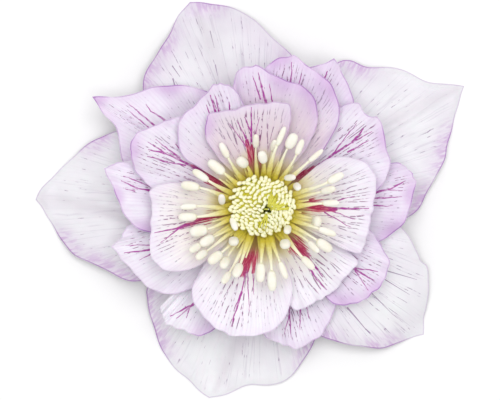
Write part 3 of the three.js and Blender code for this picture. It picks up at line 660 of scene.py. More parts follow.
class Finish:
    """One material, the nodes in it, and its colour so far."""

    def __init__(self, name, color):
        self.material = bpy.data.materials.new(name)
        self.material.use_nodes = True
        self.tree = self.material.node_tree
        self.shader = self.tree.nodes["Principled BSDF"]
        self.color = color

    def feed(self, socket, value):
        """Links a value to a socket, or sets the socket to a plain number or colour."""
        if isinstance(value, Value):
            self.tree.links.new(value.socket, socket)
        else:
            socket.default_value = value

    def node(self, kind, settings=None, inputs=None, output=0):
        """Adds a node: first its settings, then the numbers or links of its sockets."""
        made = self.tree.nodes.new(kind)
        for setting, choice in (settings or {}).items():
            setattr(made, setting, choice)
        for socket, value in (inputs or {}).items():
            self.feed(made.inputs[socket], value)
        return Value(self, made.outputs[output])

    def vector(self, operation, *vectors, output=0):
        """A Vector Math node. Its number results, such as a dot product, leave by output 1."""
        inputs = dict(enumerate(vectors))
        return self.node("ShaderNodeVectorMath", dict(operation=operation), inputs, output)

    def blend(self, mask, under, over):
        """One colour over another where the mask is 1."""
        return self.node("ShaderNodeMix", dict(data_type="RGBA"), {0: mask, 6: under, 7: over}, 2)

    def coat(self, mask, color):
        """Lays a colour over the finish's own where the mask is 1."""
        self.color = self.blend(mask, self.color, color)

    def noise(self, vector, scale, detail, output=0):
        """Smooth seeded noise from 0 to 1, or as a colour by output 1."""
        inputs = {"Vector": vector, "Scale": scale, "Detail": detail}
        return self.node("ShaderNodeTexNoise", None, inputs, output)

    def combine(self, x, y, z=0.0):
        """Three numbers as one vector."""
        return self.node("ShaderNodeCombineXYZ", None, {0: x, 1: y, 2: z})

    def height(self, place):
        """How high a place is above the table, in mm."""
        return self.node("ShaderNodeSeparateXYZ", None, {0: place}, "Z")

    def field(self, name):
        """A number that was stored at the points of the mesh."""
        return self.node("ShaderNodeAttribute", dict(attribute_name=name), None, "Fac")

    def place(self):
        """Object coordinates, in mm from the flower's axis."""
        metres = self.node("ShaderNodeTexCoord", None, None, "Object")
        return self.vector("MULTIPLY_ADD", metres, (1 / MM,) * 3, tuple(-AXIS))

    def stretched(self, place, x, y, z):
        """A place with each of its coordinates multiplied by a number."""
        return self.vector("MULTIPLY", place, (x, y, z))

    def done(self, roughness, relief, bump, soak):
        """Feeds the shader. Relief is in mm, and soak is the share of the light that soaks through."""
        self.feed(self.shader.inputs["Base Color"], self.color)
        self.feed(self.shader.inputs["Roughness"], roughness)
        self.shader.inputs["Subsurface Weight"].default_value = soak
        self.shader.inputs["Subsurface Scale"].default_value = SOAK_DEPTH
        self.shader.inputs["Subsurface Radius"].default_value = SOAK_TINT
        inputs = {"Strength": bump, "Distance": MM, "Height": relief}
        self.feed(self.shader.inputs["Normal"], self.node("ShaderNodeBump", None, inputs))
        return self.material


def paint(red, green, blue):
    """A screen colour from 0 to 255 as the linear light that a shader works in."""
    share = np.array([red, green, blue]) / 255
    linear = np.where(share <= 0.04045, share / 12.92, ((share + 0.055) / 1.055) ** 2.4)
    return (*linear.tolist(), 1.0)


print("mid grey on screen is", round(paint(128, 128, 128)[0], 3), "in linear light")

# %% [markdown]
# Veins that fork
#
# Cut the fan into lanes and run a vein down the middle of each. A point's distance from its vein is
# then its distance from the middle of its lane. Folding that distance about a quarter of a lane makes
# one vein into two, and folding once more makes four. If the fold opens slowly along the petal, the
# vein forks there. Each lane forks in a place of its own, or the veins would look combed.
#
# The strokes and patches from above need masks too: one class holds all the patterns of a blade.

# %% Patterns of a blade
STROKE_END = 0.35


class BladeFinish(Finish):
    """The finish of one sepal or petal. It holds what the patterns are worked out from: the numbers
    stored at the fan's points, the place of a point, a slow cloud of noise, and fibres."""

    def __init__(self, blade, color, seed, cloud_scale, fibre_scales):
        super().__init__(blade["name"], color)
        self.blade, self.seed = blade, seed
        self.sweep, self.narrowing, self.along, self.rim_gap = map(self.field, FAN_FIELDS[:4])
        self.point = self.place()
        self.flat = self.stretched(self.point, 1.0, 1.0, 0.0)
        self.radius = self.vector("LENGTH", self.flat, output=1)
        self.cloud = self.noise(self.vector("ADD", self.point, seed), cloud_scale, 3)
        self.fibre = self.fibres(seed[1], *fibre_scales)
        self.patches = largest([self.patch(*row) for row in EDGE_PATCHES.get(blade["name"], [])])

    def fibres(self, seed, fine, long):
        """Noise drawn out along the rays: fine cells to a mm of rim, and long ones to a mm of ray."""
        return self.noise(self.combine(self.sweep * fine + seed, self.radius * long, seed), 1.0, 2)

    def vein_distance(self, lane_width, sway):
        """Distance in mm to the nearest vein: half a lane is folded at a quarter and again at an
        eighth, each fold growing from nothing where the vein forks. Sway bends the lanes a little."""
        lane = self.sweep / lane_width + sway
        settings = dict(noise_dimensions="1D")
        chance = self.node("ShaderNodeTexWhiteNoise", settings, {"W": lane.floor()}, "Value")
        offset = abs(lane - lane.floor() - 0.5)
        offset = abs(offset - 0.25 * (self.along - 0.3 * chance).step(0.1, 0.5))
        offset = abs(offset - 0.125 * (self.along - 0.3 * chance).step(0.3, 0.8))
        return offset * self.narrowing * lane_width

    def patch(self, x, y, reach):
        """A soft round patch with a clouded edge: 1 near its middle and 0 at its reach."""
        away = self.vector("DISTANCE", self.flat, (x, y, 0.0), output=1)
        return (away + 2 * (self.cloud - 0.5)).step(reach, reach * 0.2)

    def stroke(self, place, soft, x0, y0, x1, y1, half_width):
        """A painted stroke: 1 within its half width of the straight line between its ends, 0 outside.
        The nearest place on the line is the foot of the perpendicular, held between the ends. The
        stroke narrows along the way, and soft is the share of its width over which its edge fades."""
        run = np.array([x1 - x0, y1 - y0, 0.0])
        from_start = self.vector("SUBTRACT", place, (x0, y0, 0.0))
        share = self.vector("DOT_PRODUCT", from_start, tuple(run / (run @ run)), output=1)
        share = self.node("ShaderNodeClamp", None, {0: share})
        foot = self.vector("MULTIPLY", self.combine(share, share), tuple(run))
        away = self.vector("LENGTH", self.vector("SUBTRACT", from_start, foot), output=1)
        half_width = half_width * (1 - (1 - STROKE_END) * share)
        return (away / half_width).step(1 + soft, 1 - soft)

    def strokes(self, place, rows, wider=1.0, soft=0.35):
        """Every stroke at once, each as many times wider as wider says: the largest of their masks."""
        return largest([self.stroke(place, soft, *ends, wide * wider) for *ends, wide in rows])


print("patterns:", *(name for name in vars(BladeFinish) if name[0] != "_"))

# %% [markdown]
# The ground of a petal
#
# It goes on as a painter would lay it on: a pale ground, a painted warm shade where the petals crowd
# round the head, rose on the blushed petals and cream on the paler ones, and a lilac margin. Over it
# come fine broken veins, the strong midrib, the olive of the claw, painted lighter to lift the shade
# there, and the crimson wedge.

# %% Petal ground
PALE = paint(238, 237, 242)
LILAC = paint(219, 202, 226)
PAINTED_CREAM_SHADE = paint(240, 233, 220)
PAINTED_ROSE_SHADE = paint(221, 204, 211)
MARGIN = paint(216, 195, 224)
EDGE_PURPLE = paint(188, 138, 200)


def petal_ground(s):
    """Lilac clouds and fibres on the pale ground, then the painted warm shade, the margin and the patches.
    """
    blush = s.blade["blush"]
    s.coat(blush * (0.5 + 1.6 * (s.cloud - 0.4)), LILAC)
    s.coat(0.14 * s.fibre.step(0.48, 0.7), LILAC)
    # Painted shade: warmer towards the head, between the blade's two shade distances, where the petals
    # crowd.
    inner = s.radius.step(*s.blade["shade"]) * (1 - 0.4 * s.cloud)
    s.coat(0.95 * inner, PAINTED_ROSE_SHADE if blush > 0.4 else PAINTED_CREAM_SHADE)
    s.coat(s.rim_gap.step(2.0, 0.1) * (0.15 + 0.5 * blush), MARGIN)
    if s.patches is not None:
        s.coat(0.42 * s.patches * s.rim_gap.step(5.0, 0.1), EDGE_PURPLE)


print("lilac in linear light:", np.round(LILAC[:3], 2).tolist())

# %% [markdown]
# Veins of a petal
#
# The fine veins are not drawn out evenly. Each shows as a faint line with dashes of ink in it, darker
# and more purple near the midrib. The strong veins waver a little and are broken in places.

# %% Petal veins
PETAL_LANE = 3.3
VEIN_FAINT = paint(206, 180, 212)
VEIN_GREY = paint(104, 70, 112)
VEIN_PURPLE = paint(128, 40, 112)
MIDRIB = paint(168, 54, 154)


def petal_veins(s, wavering, streaks):
    """Fine veins, their dashes and the strong veins. Returns the distance to the nearest fine vein."""
    sway = 0.25 * (s.noise(s.vector("ADD", s.flat, s.seed), 0.25, 2) - 0.5)
    sway = sway + 0.5 * (s.noise(s.combine(s.sweep * 0.45, s.seed[0]), 1.0, 1) - 0.5)
    distance = s.vein_distance(PETAL_LANE, sway)
    room = s.along.step(0.32, 0.58) * s.rim_gap.step(0.7, 2.0)
    s.coat(0.15 * distance.step(0.2, 0.05) * s.along.step(0.15, 0.5), VEIN_FAINT)
    near_midrib = abs(s.field("midrib_gap")).step(6.0, 1.0)
    inked = streaks + 0.06 * near_midrib - 0.1 * s.cloud.step(0.6, 0.4) + (0.22 * s.blade["ink"] - 0.16)
    dash = distance.step(0.11, 0.03) * inked.step(0.47, 0.56) * room
    s.coat((0.55 + 0.35 * near_midrib) * dash, s.blend(0.8 * near_midrib, VEIN_GREY, VEIN_PURPLE))
    strong = s.strokes(wavering, VEINS[s.blade["name"]], 1.2)
    broken = 0.6 + 0.4 * s.noise(s.point, 1.1, 2).step(0.35, 0.55)
    s.coat(strong * broken, MIDRIB)
    return distance


print("a lane of", PETAL_LANE, "mm holds one vein at the claw and four at the rim")

# %% [markdown]
# The crimson wedge
#
# Its strokes are widened, and fibres tear their soft edges into points. Inward the crimson turns brown
# and sinks into the olive of the claw, and outward it goes over into the magenta of the veins. On the
# lower petals, which lie deeper in shade, it is painted a little paler to lift that shade.

# %% Petal wedge
CRIMSON = paint(166, 20, 72)
CRIMSON_PAINTED_LIGHTER = paint(184, 36, 86)
LAST_LIGHTENED_TIER = 6
WEDGE_ROSE = paint(214, 120, 140)
OLIVE_BROWN = paint(150, 104, 46)


def petal_wedge(s, wavering, streaks):
    """Widened strokes, torn by fibres: crimson, rose where it is streaked, and brown inward."""
    fingers = s.fibres(s.seed[1], 2.4, 0.2)
    body = s.strokes(wavering, WEDGES[s.blade["name"]], 2.5, soft=0.85)
    torn = (body + 2.4 * (fingers - 0.5)).step(0.42, 0.78) * body.step(0.02, 0.25)
    # Painted light: the lower tiers, which lie in shade, get a lighter crimson.
    crimson = CRIMSON if s.blade["tier"] > LAST_LIGHTENED_TIER else CRIMSON_PAINTED_LIGHTER
    color = s.blend(s.radius.step(10.0, 15.5), crimson, MIDRIB)
    color = s.blend(0.7 * streaks.step(0.5, 0.62), color, WEDGE_ROSE)
    inward = (s.radius + 3 * (fingers - 0.5)).step(9.2, 6.6)
    s.coat((1.0 - 0.5 * inward) * torn, s.blend(inward, color, OLIVE_BROWN))


print("petals with a wedge:", sum(petal["name"] in WEDGES for petal in PETALS))

# %% [markdown]
# The whole petal
#
# A thin dark line along parts of the rim finishes the colour, and the underside has a flush of lilac.
# The surface is satin, with a low relief of tissue that swells between the veins.

# %% Petal finish
CLAW_GREEN_PAINTED_LIGHTER = paint(228, 219, 150)
CLAW_OLIVE = paint(202, 176, 52)
PICOTEE = paint(156, 104, 176)
BLADE_BUMP, BLADE_SOAK = 0.5, 0.5


def petal_finish(blade):
    """The material of one petal. Wavering is the flat place, shaken by noise."""
    seed = (13.7 * blade["tier"], 7.1 * blade["claw"], 0.0)
    s = BladeFinish(blade, PALE, seed, 0.28, (1.8, 0.35))
    petal_ground(s)
    tremble = s.noise(s.vector("ADD", s.flat, seed), 0.6, 2, output=1)
    wavering = s.vector("MULTIPLY_ADD", s.vector("SUBTRACT", tremble, (0.5,) * 3), (0.5, 0.5, 0.0), s.flat)
    streaks = s.fibres(seed[0], 2.4, 1.1)
    distance = petal_veins(s, wavering, streaks)
    # The claw's own yellow-green, painted lighter than it is to lift the shade that falls round the head.
    claw = (s.radius + 3 * (s.cloud - 0.5) + 3 * (s.fibre - 0.5)).step(11.5, 7.0)
    s.coat(0.85 * claw, s.blend(s.radius.step(10.2, 6.6), CLAW_GREEN_PAINTED_LIGHTER, CLAW_OLIVE))
    if blade["name"] in WEDGES:
        petal_wedge(s, wavering, streaks)
    uneven = s.noise(s.combine(s.sweep * 0.25, seed[1]), 1.0, 2).step(0.3, 0.55)
    rim_line = uneven * (0.12 + 0.7 * blade["blush"])
    if s.patches is not None:
        rim_line = rim_line.greatest(0.85 * s.patches)
    s.coat(s.rim_gap.step(0.27, 0.1) * rim_line, PICOTEE)
    s.coat(0.35 * s.field("underside"), LILAC)
    grain = s.noise(s.point, 3.2, 3)
    relief = 0.02 * distance.step(0.0, 0.35) + 0.02 * grain + 0.015 * s.fibre
    return s.done(0.42 + 0.16 * grain, relief, BLADE_BUMP, BLADE_SOAK)


print("petals with edge patches:", sum(petal["name"] in EDGE_PATCHES for petal in PETALS))

# %% [markdown]
# The finish of a sepal
#
# The five sepals are the bloom's outermost and largest blades. They are nearly white, with long faint
# grey veins, and purple has gathered in patches along their edges, where the bud was open to the sun.
# It is laid on like the petal's, with veins further apart and less ink.

# %% Sepal finish
SEPAL_LANE = 5.2
SEPAL_WHITE = paint(244, 243, 246)
SEPAL_GREY = paint(227, 224, 230)
SEPAL_VEIN = paint(176, 164, 184)
SEPAL_DASH = paint(126, 84, 136)
CREASE_SHADE = paint(206, 198, 206)


def sepal_veins(s):
    """Long grey veins, short dark dashes and strokes. Returns the distance to the nearest vein."""
    name, ink, seed = s.blade["name"], s.blade["ink"], s.seed[0]
    sway = 0.25 * (s.noise(s.vector("ADD", s.flat, s.seed), 0.15, 2) - 0.5)
    sway = sway + 1.0 * (s.noise(s.combine(s.sweep * 0.5, seed), 1.0, 2) - 0.5)
    distance = s.vein_distance(SEPAL_LANE, sway)
    room = s.along.step(0.2, 0.5) * s.rim_gap.step(0.4, 2.4)
    long_vein = distance.step(0.2, 0.04) * s.fibres(seed, 1.6, 0.14).step(0.42, 0.6)
    s.coat((0.2 + 0.2 * ink) * long_vein * room, SEPAL_VEIN)
    inked = s.fibres(seed + 3, 2.2, 0.6) + 0.1 * (ink - 0.7)
    s.coat(0.75 * (distance.step(0.14, 0.04) * inked.step(0.57, 0.65) * room), SEPAL_DASH)
    if name in VEINS:
        s.coat(0.75 * s.strokes(s.flat, VEINS[name]), SEPAL_DASH)
    if name in CREASES:
        folds = [(*ends, 2.0 * width) for *ends, depth, width in CREASES[name]]
        s.coat(0.3 * s.strokes(s.flat, folds, soft=0.9), CREASE_SHADE)
    return distance


def sepal_finish(blade):
    """The material of one sepal."""
    seed = (5.3 + 9.1 * blade["tier"], 3.7 * blade["claw"], 0.0)
    s = BladeFinish(blade, SEPAL_WHITE, seed, 0.16, (1.1, 0.16))
    s.coat(0.5 * s.cloud.step(0.3, 0.7) + 0.5 * blade["shade"], SEPAL_GREY)
    s.coat(0.14 * s.fibre.step(0.45, 0.75), SEPAL_GREY)
    s.coat(0.35 * s.rim_gap.step(8.0, 0.3) * blade["blush"], LILAC)
    distance = sepal_veins(s)
    mottle = 0.35 + 0.65 * s.fibres(seed[0], 1.8, 0.5).step(0.4, 0.62)
    s.coat(0.6 * s.patches * s.rim_gap.step(4.0, 0.1) * mottle, EDGE_PURPLE)
    s.coat(s.rim_gap.step(0.26, 0.1) * (0.35 + 0.45 * s.patches), PICOTEE)
    # The same claw green on the sepal's foot, painted lighter to lift the shade under the petals.
    s.coat(0.85 * s.radius.step(9, 5.5), CLAW_GREEN_PAINTED_LIGHTER)
    s.coat(0.4 * s.field("underside"), LILAC)
    grain = s.noise(s.point, 2.6, 3)
    relief = 0.04 * distance.step(0.0, 0.5) + 0.02 * grain + 0.03 * s.fibre
    return s.done(0.45 + 0.15 * grain, relief, BLADE_BUMP, BLADE_SOAK)


print("a sepal's veins run", SEPAL_LANE, "mm apart before they fork")

# %% [markdown]
# Laying out the blades
#
# Sepals come first and petals follow tier by tier, in the order in which a living bud holds them. Each
# takes the next draw for the phase of its waves, so no two ripple together.

# %% Blades in the scene
SEPAL_CLAW_WIDTH, PETAL_CLAW_WIDTH = 4.6, 3.2
SEPAL_STEPS, PETAL_STEPS = (110, 54), (84, 44)


def seeded_draws(seed):
    """An endless run of draws from 0 to 1: each one multiplies and adds to the last, modulo 2 to the 32."""
    state = seed
    while True:
        state = (state * 1664525 + 1013904223) % 4294967296
        yield state / 4294967296


phases = seeded_draws(3)
for sepal in SEPALS:
    make_blade(sepal, SEPAL_CLAW_WIDTH, SEPAL_STEPS, next(phases), sepal_finish(sepal))
for petal in PETALS:
    make_blade(petal, PETAL_CLAW_WIDTH, PETAL_STEPS, next(phases), petal_finish(petal))

# %% [markdown]
# Tubes and grains
#
# Stamens and styles are all the same thing to a modeller: an ellipse carried along a path, with its
# size changing on the way. Worked out for many paths at once, one call makes a whole whorl of them.

# %% Swept shapes
def swept(paths, widths, heights, around, section=np.ones_like, up=(0, 0, 1)):
    """Rings round many paths at once: centre + side * width * cos + top * height * sin. Side is square
    to the path and to up, top is square to both, and a point closes each end."""
    tangent = np.gradient(paths, axis=1)
    tangent /= np.linalg.norm(tangent, axis=-1, keepdims=True)
    side = np.cross(np.broadcast_to(up, tangent.shape), tangent)
    side /= np.linalg.norm(side, axis=-1, keepdims=True)
    top = np.cross(tangent, side)
    turn = np.linspace(0, 2 * np.pi, around, endpoint=False)
    outline = section(turn)
    across = side[:, :, None] * (np.cos(turn) * outline)[:, None] * widths[..., None, None]
    upward = top[:, :, None] * (np.sin(turn) * outline)[:, None] * heights[..., None, None]
    count, steps = paths.shape[:2]
    body = (paths[:, :, None] + across + upward).reshape(count, -1, 3)
    points = np.concatenate([body, paths[:, :1], paths[:, -1:]], axis=1)
    ring = np.arange(around)
    after = np.roll(ring, -1)
    last = (steps - 1) * around
    first_cap = np.stack([0 * ring + steps * around, after, ring], axis=1)
    last_cap = np.stack([0 * ring + steps * around + 1, last + ring, last + after], axis=1)
    shift = (np.arange(count) * (steps * around + 2))[:, None, None]
    faces = (grid_faces(steps, around, wrap=True) + shift).reshape(-1, 4).tolist()
    faces += (np.vstack([first_cap, last_cap]) + shift).reshape(-1, 3).tolist()
    return points.reshape(-1, 3), faces


bar = swept(np.eye(3)[None, :2], np.ones((1, 2)), np.ones((1, 2)), 4)
print("a square bar has", len(bar[0]), "points and", len(bar[1]), "faces")

# %% [markdown]
# Grains with round ends
#
# Anthers are fuller than an egg and rounder than a tube. Their first and last rings stop a little
# short of the ends, so that the closing points aren't drawn out to needles. Every tube also keeps, at
# its points, the share of the way along, because anthers and styles change colour on the way.

# %% Whorls of tubes
END_ANGLE = 0.06


def capsule(centres, directions, lengths, widths, steps, fullness):
    """Paths and half widths of round-ended grains, and each ring's share of the way along. The half
    width is the whole one times (1 - s**fullness) ** (1 / fullness), with s from -1 to 1."""
    s = -np.cos(np.linspace(END_ANGLE, np.pi - END_ANGLE, steps))
    paths = centres[:, None] + directions[:, None] * (lengths[:, None] / 2 * s)[..., None]
    half = widths[:, None] / 2 * (1 - np.abs(s) ** fullness) ** (1 / fullness)
    return paths, half, np.broadcast_to((1 + s) / 2, half.shape)


def add_tubes(name, material, node, slot, tubes, around, flatness=1, **shape):
    """Puts tubes of one kind in the scene as one piece: their paths, half widths and shares."""
    paths, half, share = tubes
    points, faces = swept(paths, half, flatness * half, around, **shape)
    shares = np.hstack([np.repeat(share, around, axis=1), share[:, :1], share[:, -1:]])
    add_piece(name, make_mesh(name, points, faces, dict(share=shares)), material, node)


print("the rings of a grain lie at", capsule(*np.ones((4, 1)), 5, 2.6)[2][0].round(2).tolist())

# %% [markdown]
# The dome of the head
#
# In the middle most anthers are still closed and together make a low dome. It is not quite even: its
# eye, where the styles come through, lies a little to one side.

# %% The dome
HEAD_RADIUS, HEAD_TOP, HEAD_EDGE = 5.75, 18.5, 16.2
HEAD_STRETCH, HEAD_SHIFT = np.array([1.04, 0.94]), np.array([0, 0.4])
EYE, EYE_RADIUS = np.array([1.1, -0.9]), 0.65


def head_height(radius):
    """The dome over the young anthers: its top, less a drop that grows with radius to the power 2.4."""
    return HEAD_TOP - (HEAD_TOP - HEAD_EDGE) * (radius / HEAD_RADIUS) ** 2.4


def head_plan(flat, radius, share=1.0):
    """Moves points of round rings to where the head has them: the rings slide from the middle at the
    edge to the eye, and all are a little wider than deep. Share says how much of this is done."""
    slid = flat + share * EYE * (1 - radius / HEAD_RADIUS)
    return slid * (1 + share * (HEAD_STRETCH - 1)) + share * HEAD_SHIFT


def head_point(bearing, radius, sink):
    """A place on the dome, at a bearing and a radius on its rings and a depth below the dome."""
    point = polar(bearing, radius, head_height(radius) - sink)
    point[..., :2] = head_plan(point[..., :2], radius[..., None])
    return point


EYE_PLACE = head_plan(np.zeros(2), 0.0)
print("the eye lies at", EYE_PLACE.round(2).tolist(), "mm from the axis")

# %% [markdown]
# Packed like seeds
#
# Each young anther stands at the golden angle from the one before, which is how a plant fits the next
# one in wherever there is most room. In three gaps with ragged edges they have been pushed apart. They
# lean over towards the west, many of them well to the north or the south of it.

# %% Where the young anthers lie
YOUNG_COUNT, GOLDEN_ANGLE = 185, 137.508
GAP_BEARINGS, GAP_HALF_ANGLES, GAP_REACHES = np.array([(38, 36, 2.7), (4, 10, 4.9), (-94, 8, 4.6)]).T
RAGGED = 0.55, 1.15
YOUNG_LEAN, YOUNG_SINK = (50, 74), (0.25, 0.6)
YOUNG_LENGTH, YOUNG_WIDTH, EDGE_SWELL = (1.0, 1.35), (0.52, 0.64), 0.2
LOBE_DEPTH, LOBE_COUNT, LOBE_TURN = 0.03, 3, 40
random = np.random.default_rng(7)


def apart(bearings, others):
    """The angle between each bearing and each of the others, from 0 to 180 degrees."""
    return np.abs((bearings[:, None] - others + 180) % 360 - 180)


order = np.arange(YOUNG_COUNT)
share = (order + 0.5) / YOUNG_COUNT
young_radius = np.sqrt(EYE_RADIUS**2 + share * (HEAD_RADIUS**2 - EYE_RADIUS**2))
young_bearing = order * GOLDEN_ANGLE + random.uniform(-3, 3, YOUNG_COUNT)
ragged = random.uniform(*RAGGED, (YOUNG_COUNT, len(GAP_BEARINGS)))
in_angle = apart(young_bearing, GAP_BEARINGS) < GAP_HALF_ANGLES * ragged
kept = ~(in_angle & (young_radius[:, None] < GAP_REACHES * ragged)).any(axis=1)
young_radius, young_bearing, count = young_radius[kept], young_bearing[kept], kept.sum()
young_radius = young_radius * (1 + LOBE_DEPTH * np.sin(np.radians(LOBE_COUNT * young_bearing + LOBE_TURN)))
lean = np.radians(random.uniform(*YOUNG_LEAN, count))
heading = 180 - 0.5 * (young_bearing % 360 - 180) + random.uniform(-40, 40, count)
young_direction = polar(heading, np.sin(lean), np.cos(lean))
young_centre = head_point(young_bearing, young_radius, random.uniform(*YOUNG_SINK, count))
young_length = random.uniform(*YOUNG_LENGTH, count)
young_width = random.uniform(*YOUNG_WIDTH, count) + EDGE_SWELL * (young_radius / HEAD_RADIUS) ** 4
print("young anthers:", count)

# %% Young anthers
YOUNG_CREAM = paint(254, 251, 212)
YOUNG_GREEN = paint(222, 212, 76)


def young_anther_finish():
    """Cream with a greener foot and a fine powdery relief."""
    s = Finish("young_anther", YOUNG_CREAM)
    place = s.place()
    powder = s.noise(place, 5.0, 2)
    foot = (s.field("share") + 0.4 * (s.noise(place, 0.9, 2) - 0.5)).step(0.4, 0.02)
    s.coat(0.8 * foot, YOUNG_GREEN)
    return s.done(0.5 + 0.2 * powder, powder, 0.12, 0.3)


young = capsule(young_centre, young_direction, young_length, young_width, steps=6, fullness=2.6)
add_tubes("young_anthers", young_anther_finish(), "young_stamens", "young_anther", young, around=8)

# %% [markdown]
# The cushion under them
#
# The short filaments under the closed anthers stand so close that they look like one cushion. It is
# turned like a bowl on a wheel: a profile carried round the axis, up the outside and down into the
# eye, with its surface drawn into ridges so that it still reads as threads.

# %% Cushion
CUSHION_SINK, CUSHION_RIM, CUSHION_EYE = 0.62, HEAD_RADIUS - 0.4, 1.1
CUSHION_AROUND, CUSHION_RIDGES, RIDGE_DEPTH = 96, 32, 0.07
CUSHION_FOOT = [(1.5, SEAT), (2.8, SEAT), (2.9, SEAT + 1.4), (4.2, HEAD_EDGE - 1.3), (5.1, HEAD_EDGE - 0.9)]
CUSHION_WELL = [(0.8, 17.0), (0.85, 15.0), (1.2, 13.4)]


def turned(profile, around, ridges, depth):
    """A profile of (radius, height) points carried round the axis. Ridges add depth times the cosine
    of ridges times the bearing to the radius, more where the radius is larger."""
    bearing = np.arange(around) * 360 / around
    wave = depth * np.cos(np.radians(ridges * bearing))
    radius = profile[:, :1] + wave * smooth_step(0.8, 4, profile[:, :1])
    return polar(bearing[None, :], radius, profile[:, 1:])


rings = np.linspace(CUSHION_RIM, CUSHION_EYE, 12)
crown = np.stack([rings, head_height(rings) - CUSHION_SINK], axis=1)
profile = np.vstack([CUSHION_FOOT, crown, CUSHION_WELL])
cushion = turned(profile, CUSHION_AROUND, CUSHION_RIDGES, RIDGE_DEPTH)
upper_share = smooth_step(14, 16.5, profile[:, 1])[:, None, None]
cushion[..., :2] = head_plan(cushion[..., :2], profile[:, 0][:, None, None], upper_share)
cushion_faces = grid_faces(len(profile), CUSHION_AROUND, wrap=True, loop=True).tolist()
print("cushion", round(float(cushion[..., 2].min()), 2), "to", round(float(cushion[..., 2].max()), 2), "mm")

# %% [markdown]
# Threads that show
#
# In the gaps between the anthers bare filaments are seen. A few are laid over the cushion in each gap,
# spread like a fan from the eye and arched a little. Down in the eye hardly any light arrives and the
# filaments are olive, so depth is painted as well as shaped. Cushion and threads are one piece with one
# finish, and a number stored at the points, bare, tells them apart.

# %% Bare filaments
BARE_COUNTS = [14, 5, 3]
BARE_SINK, BARE_ARCH = (0.3, 0.6), 0.5
BARE_HALF, BARE_TAPER = 0.16, 0.03

fans = [np.linspace(-half, half, count) for half, count in zip(GAP_HALF_ANGLES, BARE_COUNTS)]
bare_bearing = np.repeat(GAP_BEARINGS, BARE_COUNTS) + np.concatenate(fans)
bare_bearing = bare_bearing + random.uniform(-3, 3, bare_bearing.size)
bare_length = np.repeat(GAP_REACHES, BARE_COUNTS) * random.uniform(0.75, 1, bare_bearing.size)
share = np.linspace(0, 1, 8)
bare_radius = EYE_RADIUS * 0.9 + bare_length[:, None] * share
bare_sink = random.uniform(*BARE_SINK, bare_bearing.size)[:, None] - BARE_ARCH * np.sin(np.pi * share)
bare_paths = head_point(bare_bearing[:, None] + 0 * bare_radius, bare_radius, bare_sink)
bare_half = np.broadcast_to(BARE_HALF - BARE_TAPER * share, bare_radius.shape)
bare_points, bare_faces = swept(bare_paths, bare_half, bare_half, 6)
print("bare filaments:", bare_bearing.size)

# %% Threads of the head
THREAD_GREEN = paint(234, 228, 96)
CUSHION_GREEN = paint(188, 180, 30)
PAINTED_SHADE_OLIVE = paint(96, 98, 22)


def thread_finish():
    """Yellow-green threads, with painted shade down in the eye of the head and low on the cushion."""
    s = Finish("young_filament", CUSHION_GREEN)
    place, bare = s.place(), s.field("bare")
    from_eye = s.vector("DISTANCE", s.stretched(place, 1.0, 1.0, 0.0), (*EYE_PLACE, 0.0), output=1)
    streak = s.noise(s.stretched(place, 3.0, 3.0, 0.8), 1.0, 2)
    s.coat(bare, THREAD_GREEN)
    s.coat(0.5 * streak.step(0.35, 0.65), CUSHION_GREEN)
    # Painted shade: dark olive down in the eye, less on the bare threads, and lower down the cushion.
    s.coat(from_eye.step(2.8, 0.6) * (0.85 - 0.7 * bare), PAINTED_SHADE_OLIVE)
    s.coat(s.height(place).step(16.6, 14.5), PAINTED_SHADE_OLIVE)
    return s.done(0.5 + 0.2 * streak, streak, 0.2, 0.2)


cushion_count = cushion.size // 3
points = np.vstack([cushion.reshape(-1, 3), bare_points])
faces = cushion_faces + [[corner + cushion_count for corner in face] for face in bare_faces]
bare = np.repeat([0.0, 1.0], [cushion_count, len(bare_points)])
mesh = make_mesh("young_filaments", points, faces, dict(bare=bare))
add_piece("young_filaments", mesh, thread_finish(), "young_stamens")

# %% [markdown]
# Styles in the eye
#
# Five slender carpels stand in the middle. Each swells at the foot, where the seeds will be, and ends
# in a style that leans out of the eye with a paler tip.

# %% Carpels and styles
CARPEL_BEARINGS, CARPEL_HEIGHT = np.array([20, 92, 164, 236, 308])[:, None], 6.3
CARPEL_LIFT, CARPEL_SPREAD, CARPEL_BULGE = 0.02, 0.55, 0.25
STYLE_HALF, OVARY_SWELL, STYLE_LEAN = 0.17, 0.16, 0.9
CARPEL_GREEN = paint(150, 158, 52)
STYLE_YELLOW = paint(208, 208, 84)
STIGMA_CREAM = paint(240, 238, 200)


def carpel_finish():
    """Green carpels whose styles turn yellow, then pale at the tip."""
    s = Finish("pistil", CARPEL_GREEN)
    tip = s.field("share")
    mottle = s.noise(s.place(), 1.4, 3)
    s.coat(tip.step(0.3, 0.75), STYLE_YELLOW)
    s.coat(tip.step(0.93, 0.98), STIGMA_CREAM)
    return s.done(0.45 + 0.2 * mottle, mottle, 0.15, 0.2)


share = np.linspace(0, 1, 22)[None, :] + 0.0 * CARPEL_BEARINGS
spread = CARPEL_SPREAD + CARPEL_BULGE * np.sin(np.pi * share * 0.8)
paths = polar(CARPEL_BEARINGS, spread, SEAT + CARPEL_LIFT + CARPEL_HEIGHT * share)
paths[..., :2] += EYE_PLACE * smooth_step(0.2, 0.9, share)[..., None]
paths[..., 0] += STYLE_LEAN * smooth_step(0.75, 1, share)
half = STYLE_HALF + OVARY_SWELL * np.exp(-((share - 0.25) / 0.2) ** 2)
half = half * np.sqrt(np.clip(1 - (2 * share - 1) ** 8, 0.02, 1))
carpels = paths, half, share
add_tubes("carpels", carpel_finish(), "pistils", "pistil", carpels, around=10, up=(0.3, 0.95, 0))

# %% [markdown]
# Open stamens
#
# Round the head the stamens have opened, outermost first, and lie back on the petals like the spokes
# of a loose wheel. Those that opened last still stand up and are seen end on. Each row holds the
# bearing and distance of an anther from the axis and the length and width that show from above, which
# RIPENED raises a little. Some are twisted off their spoke, by a turn in degrees that is listed under
# their bearing.

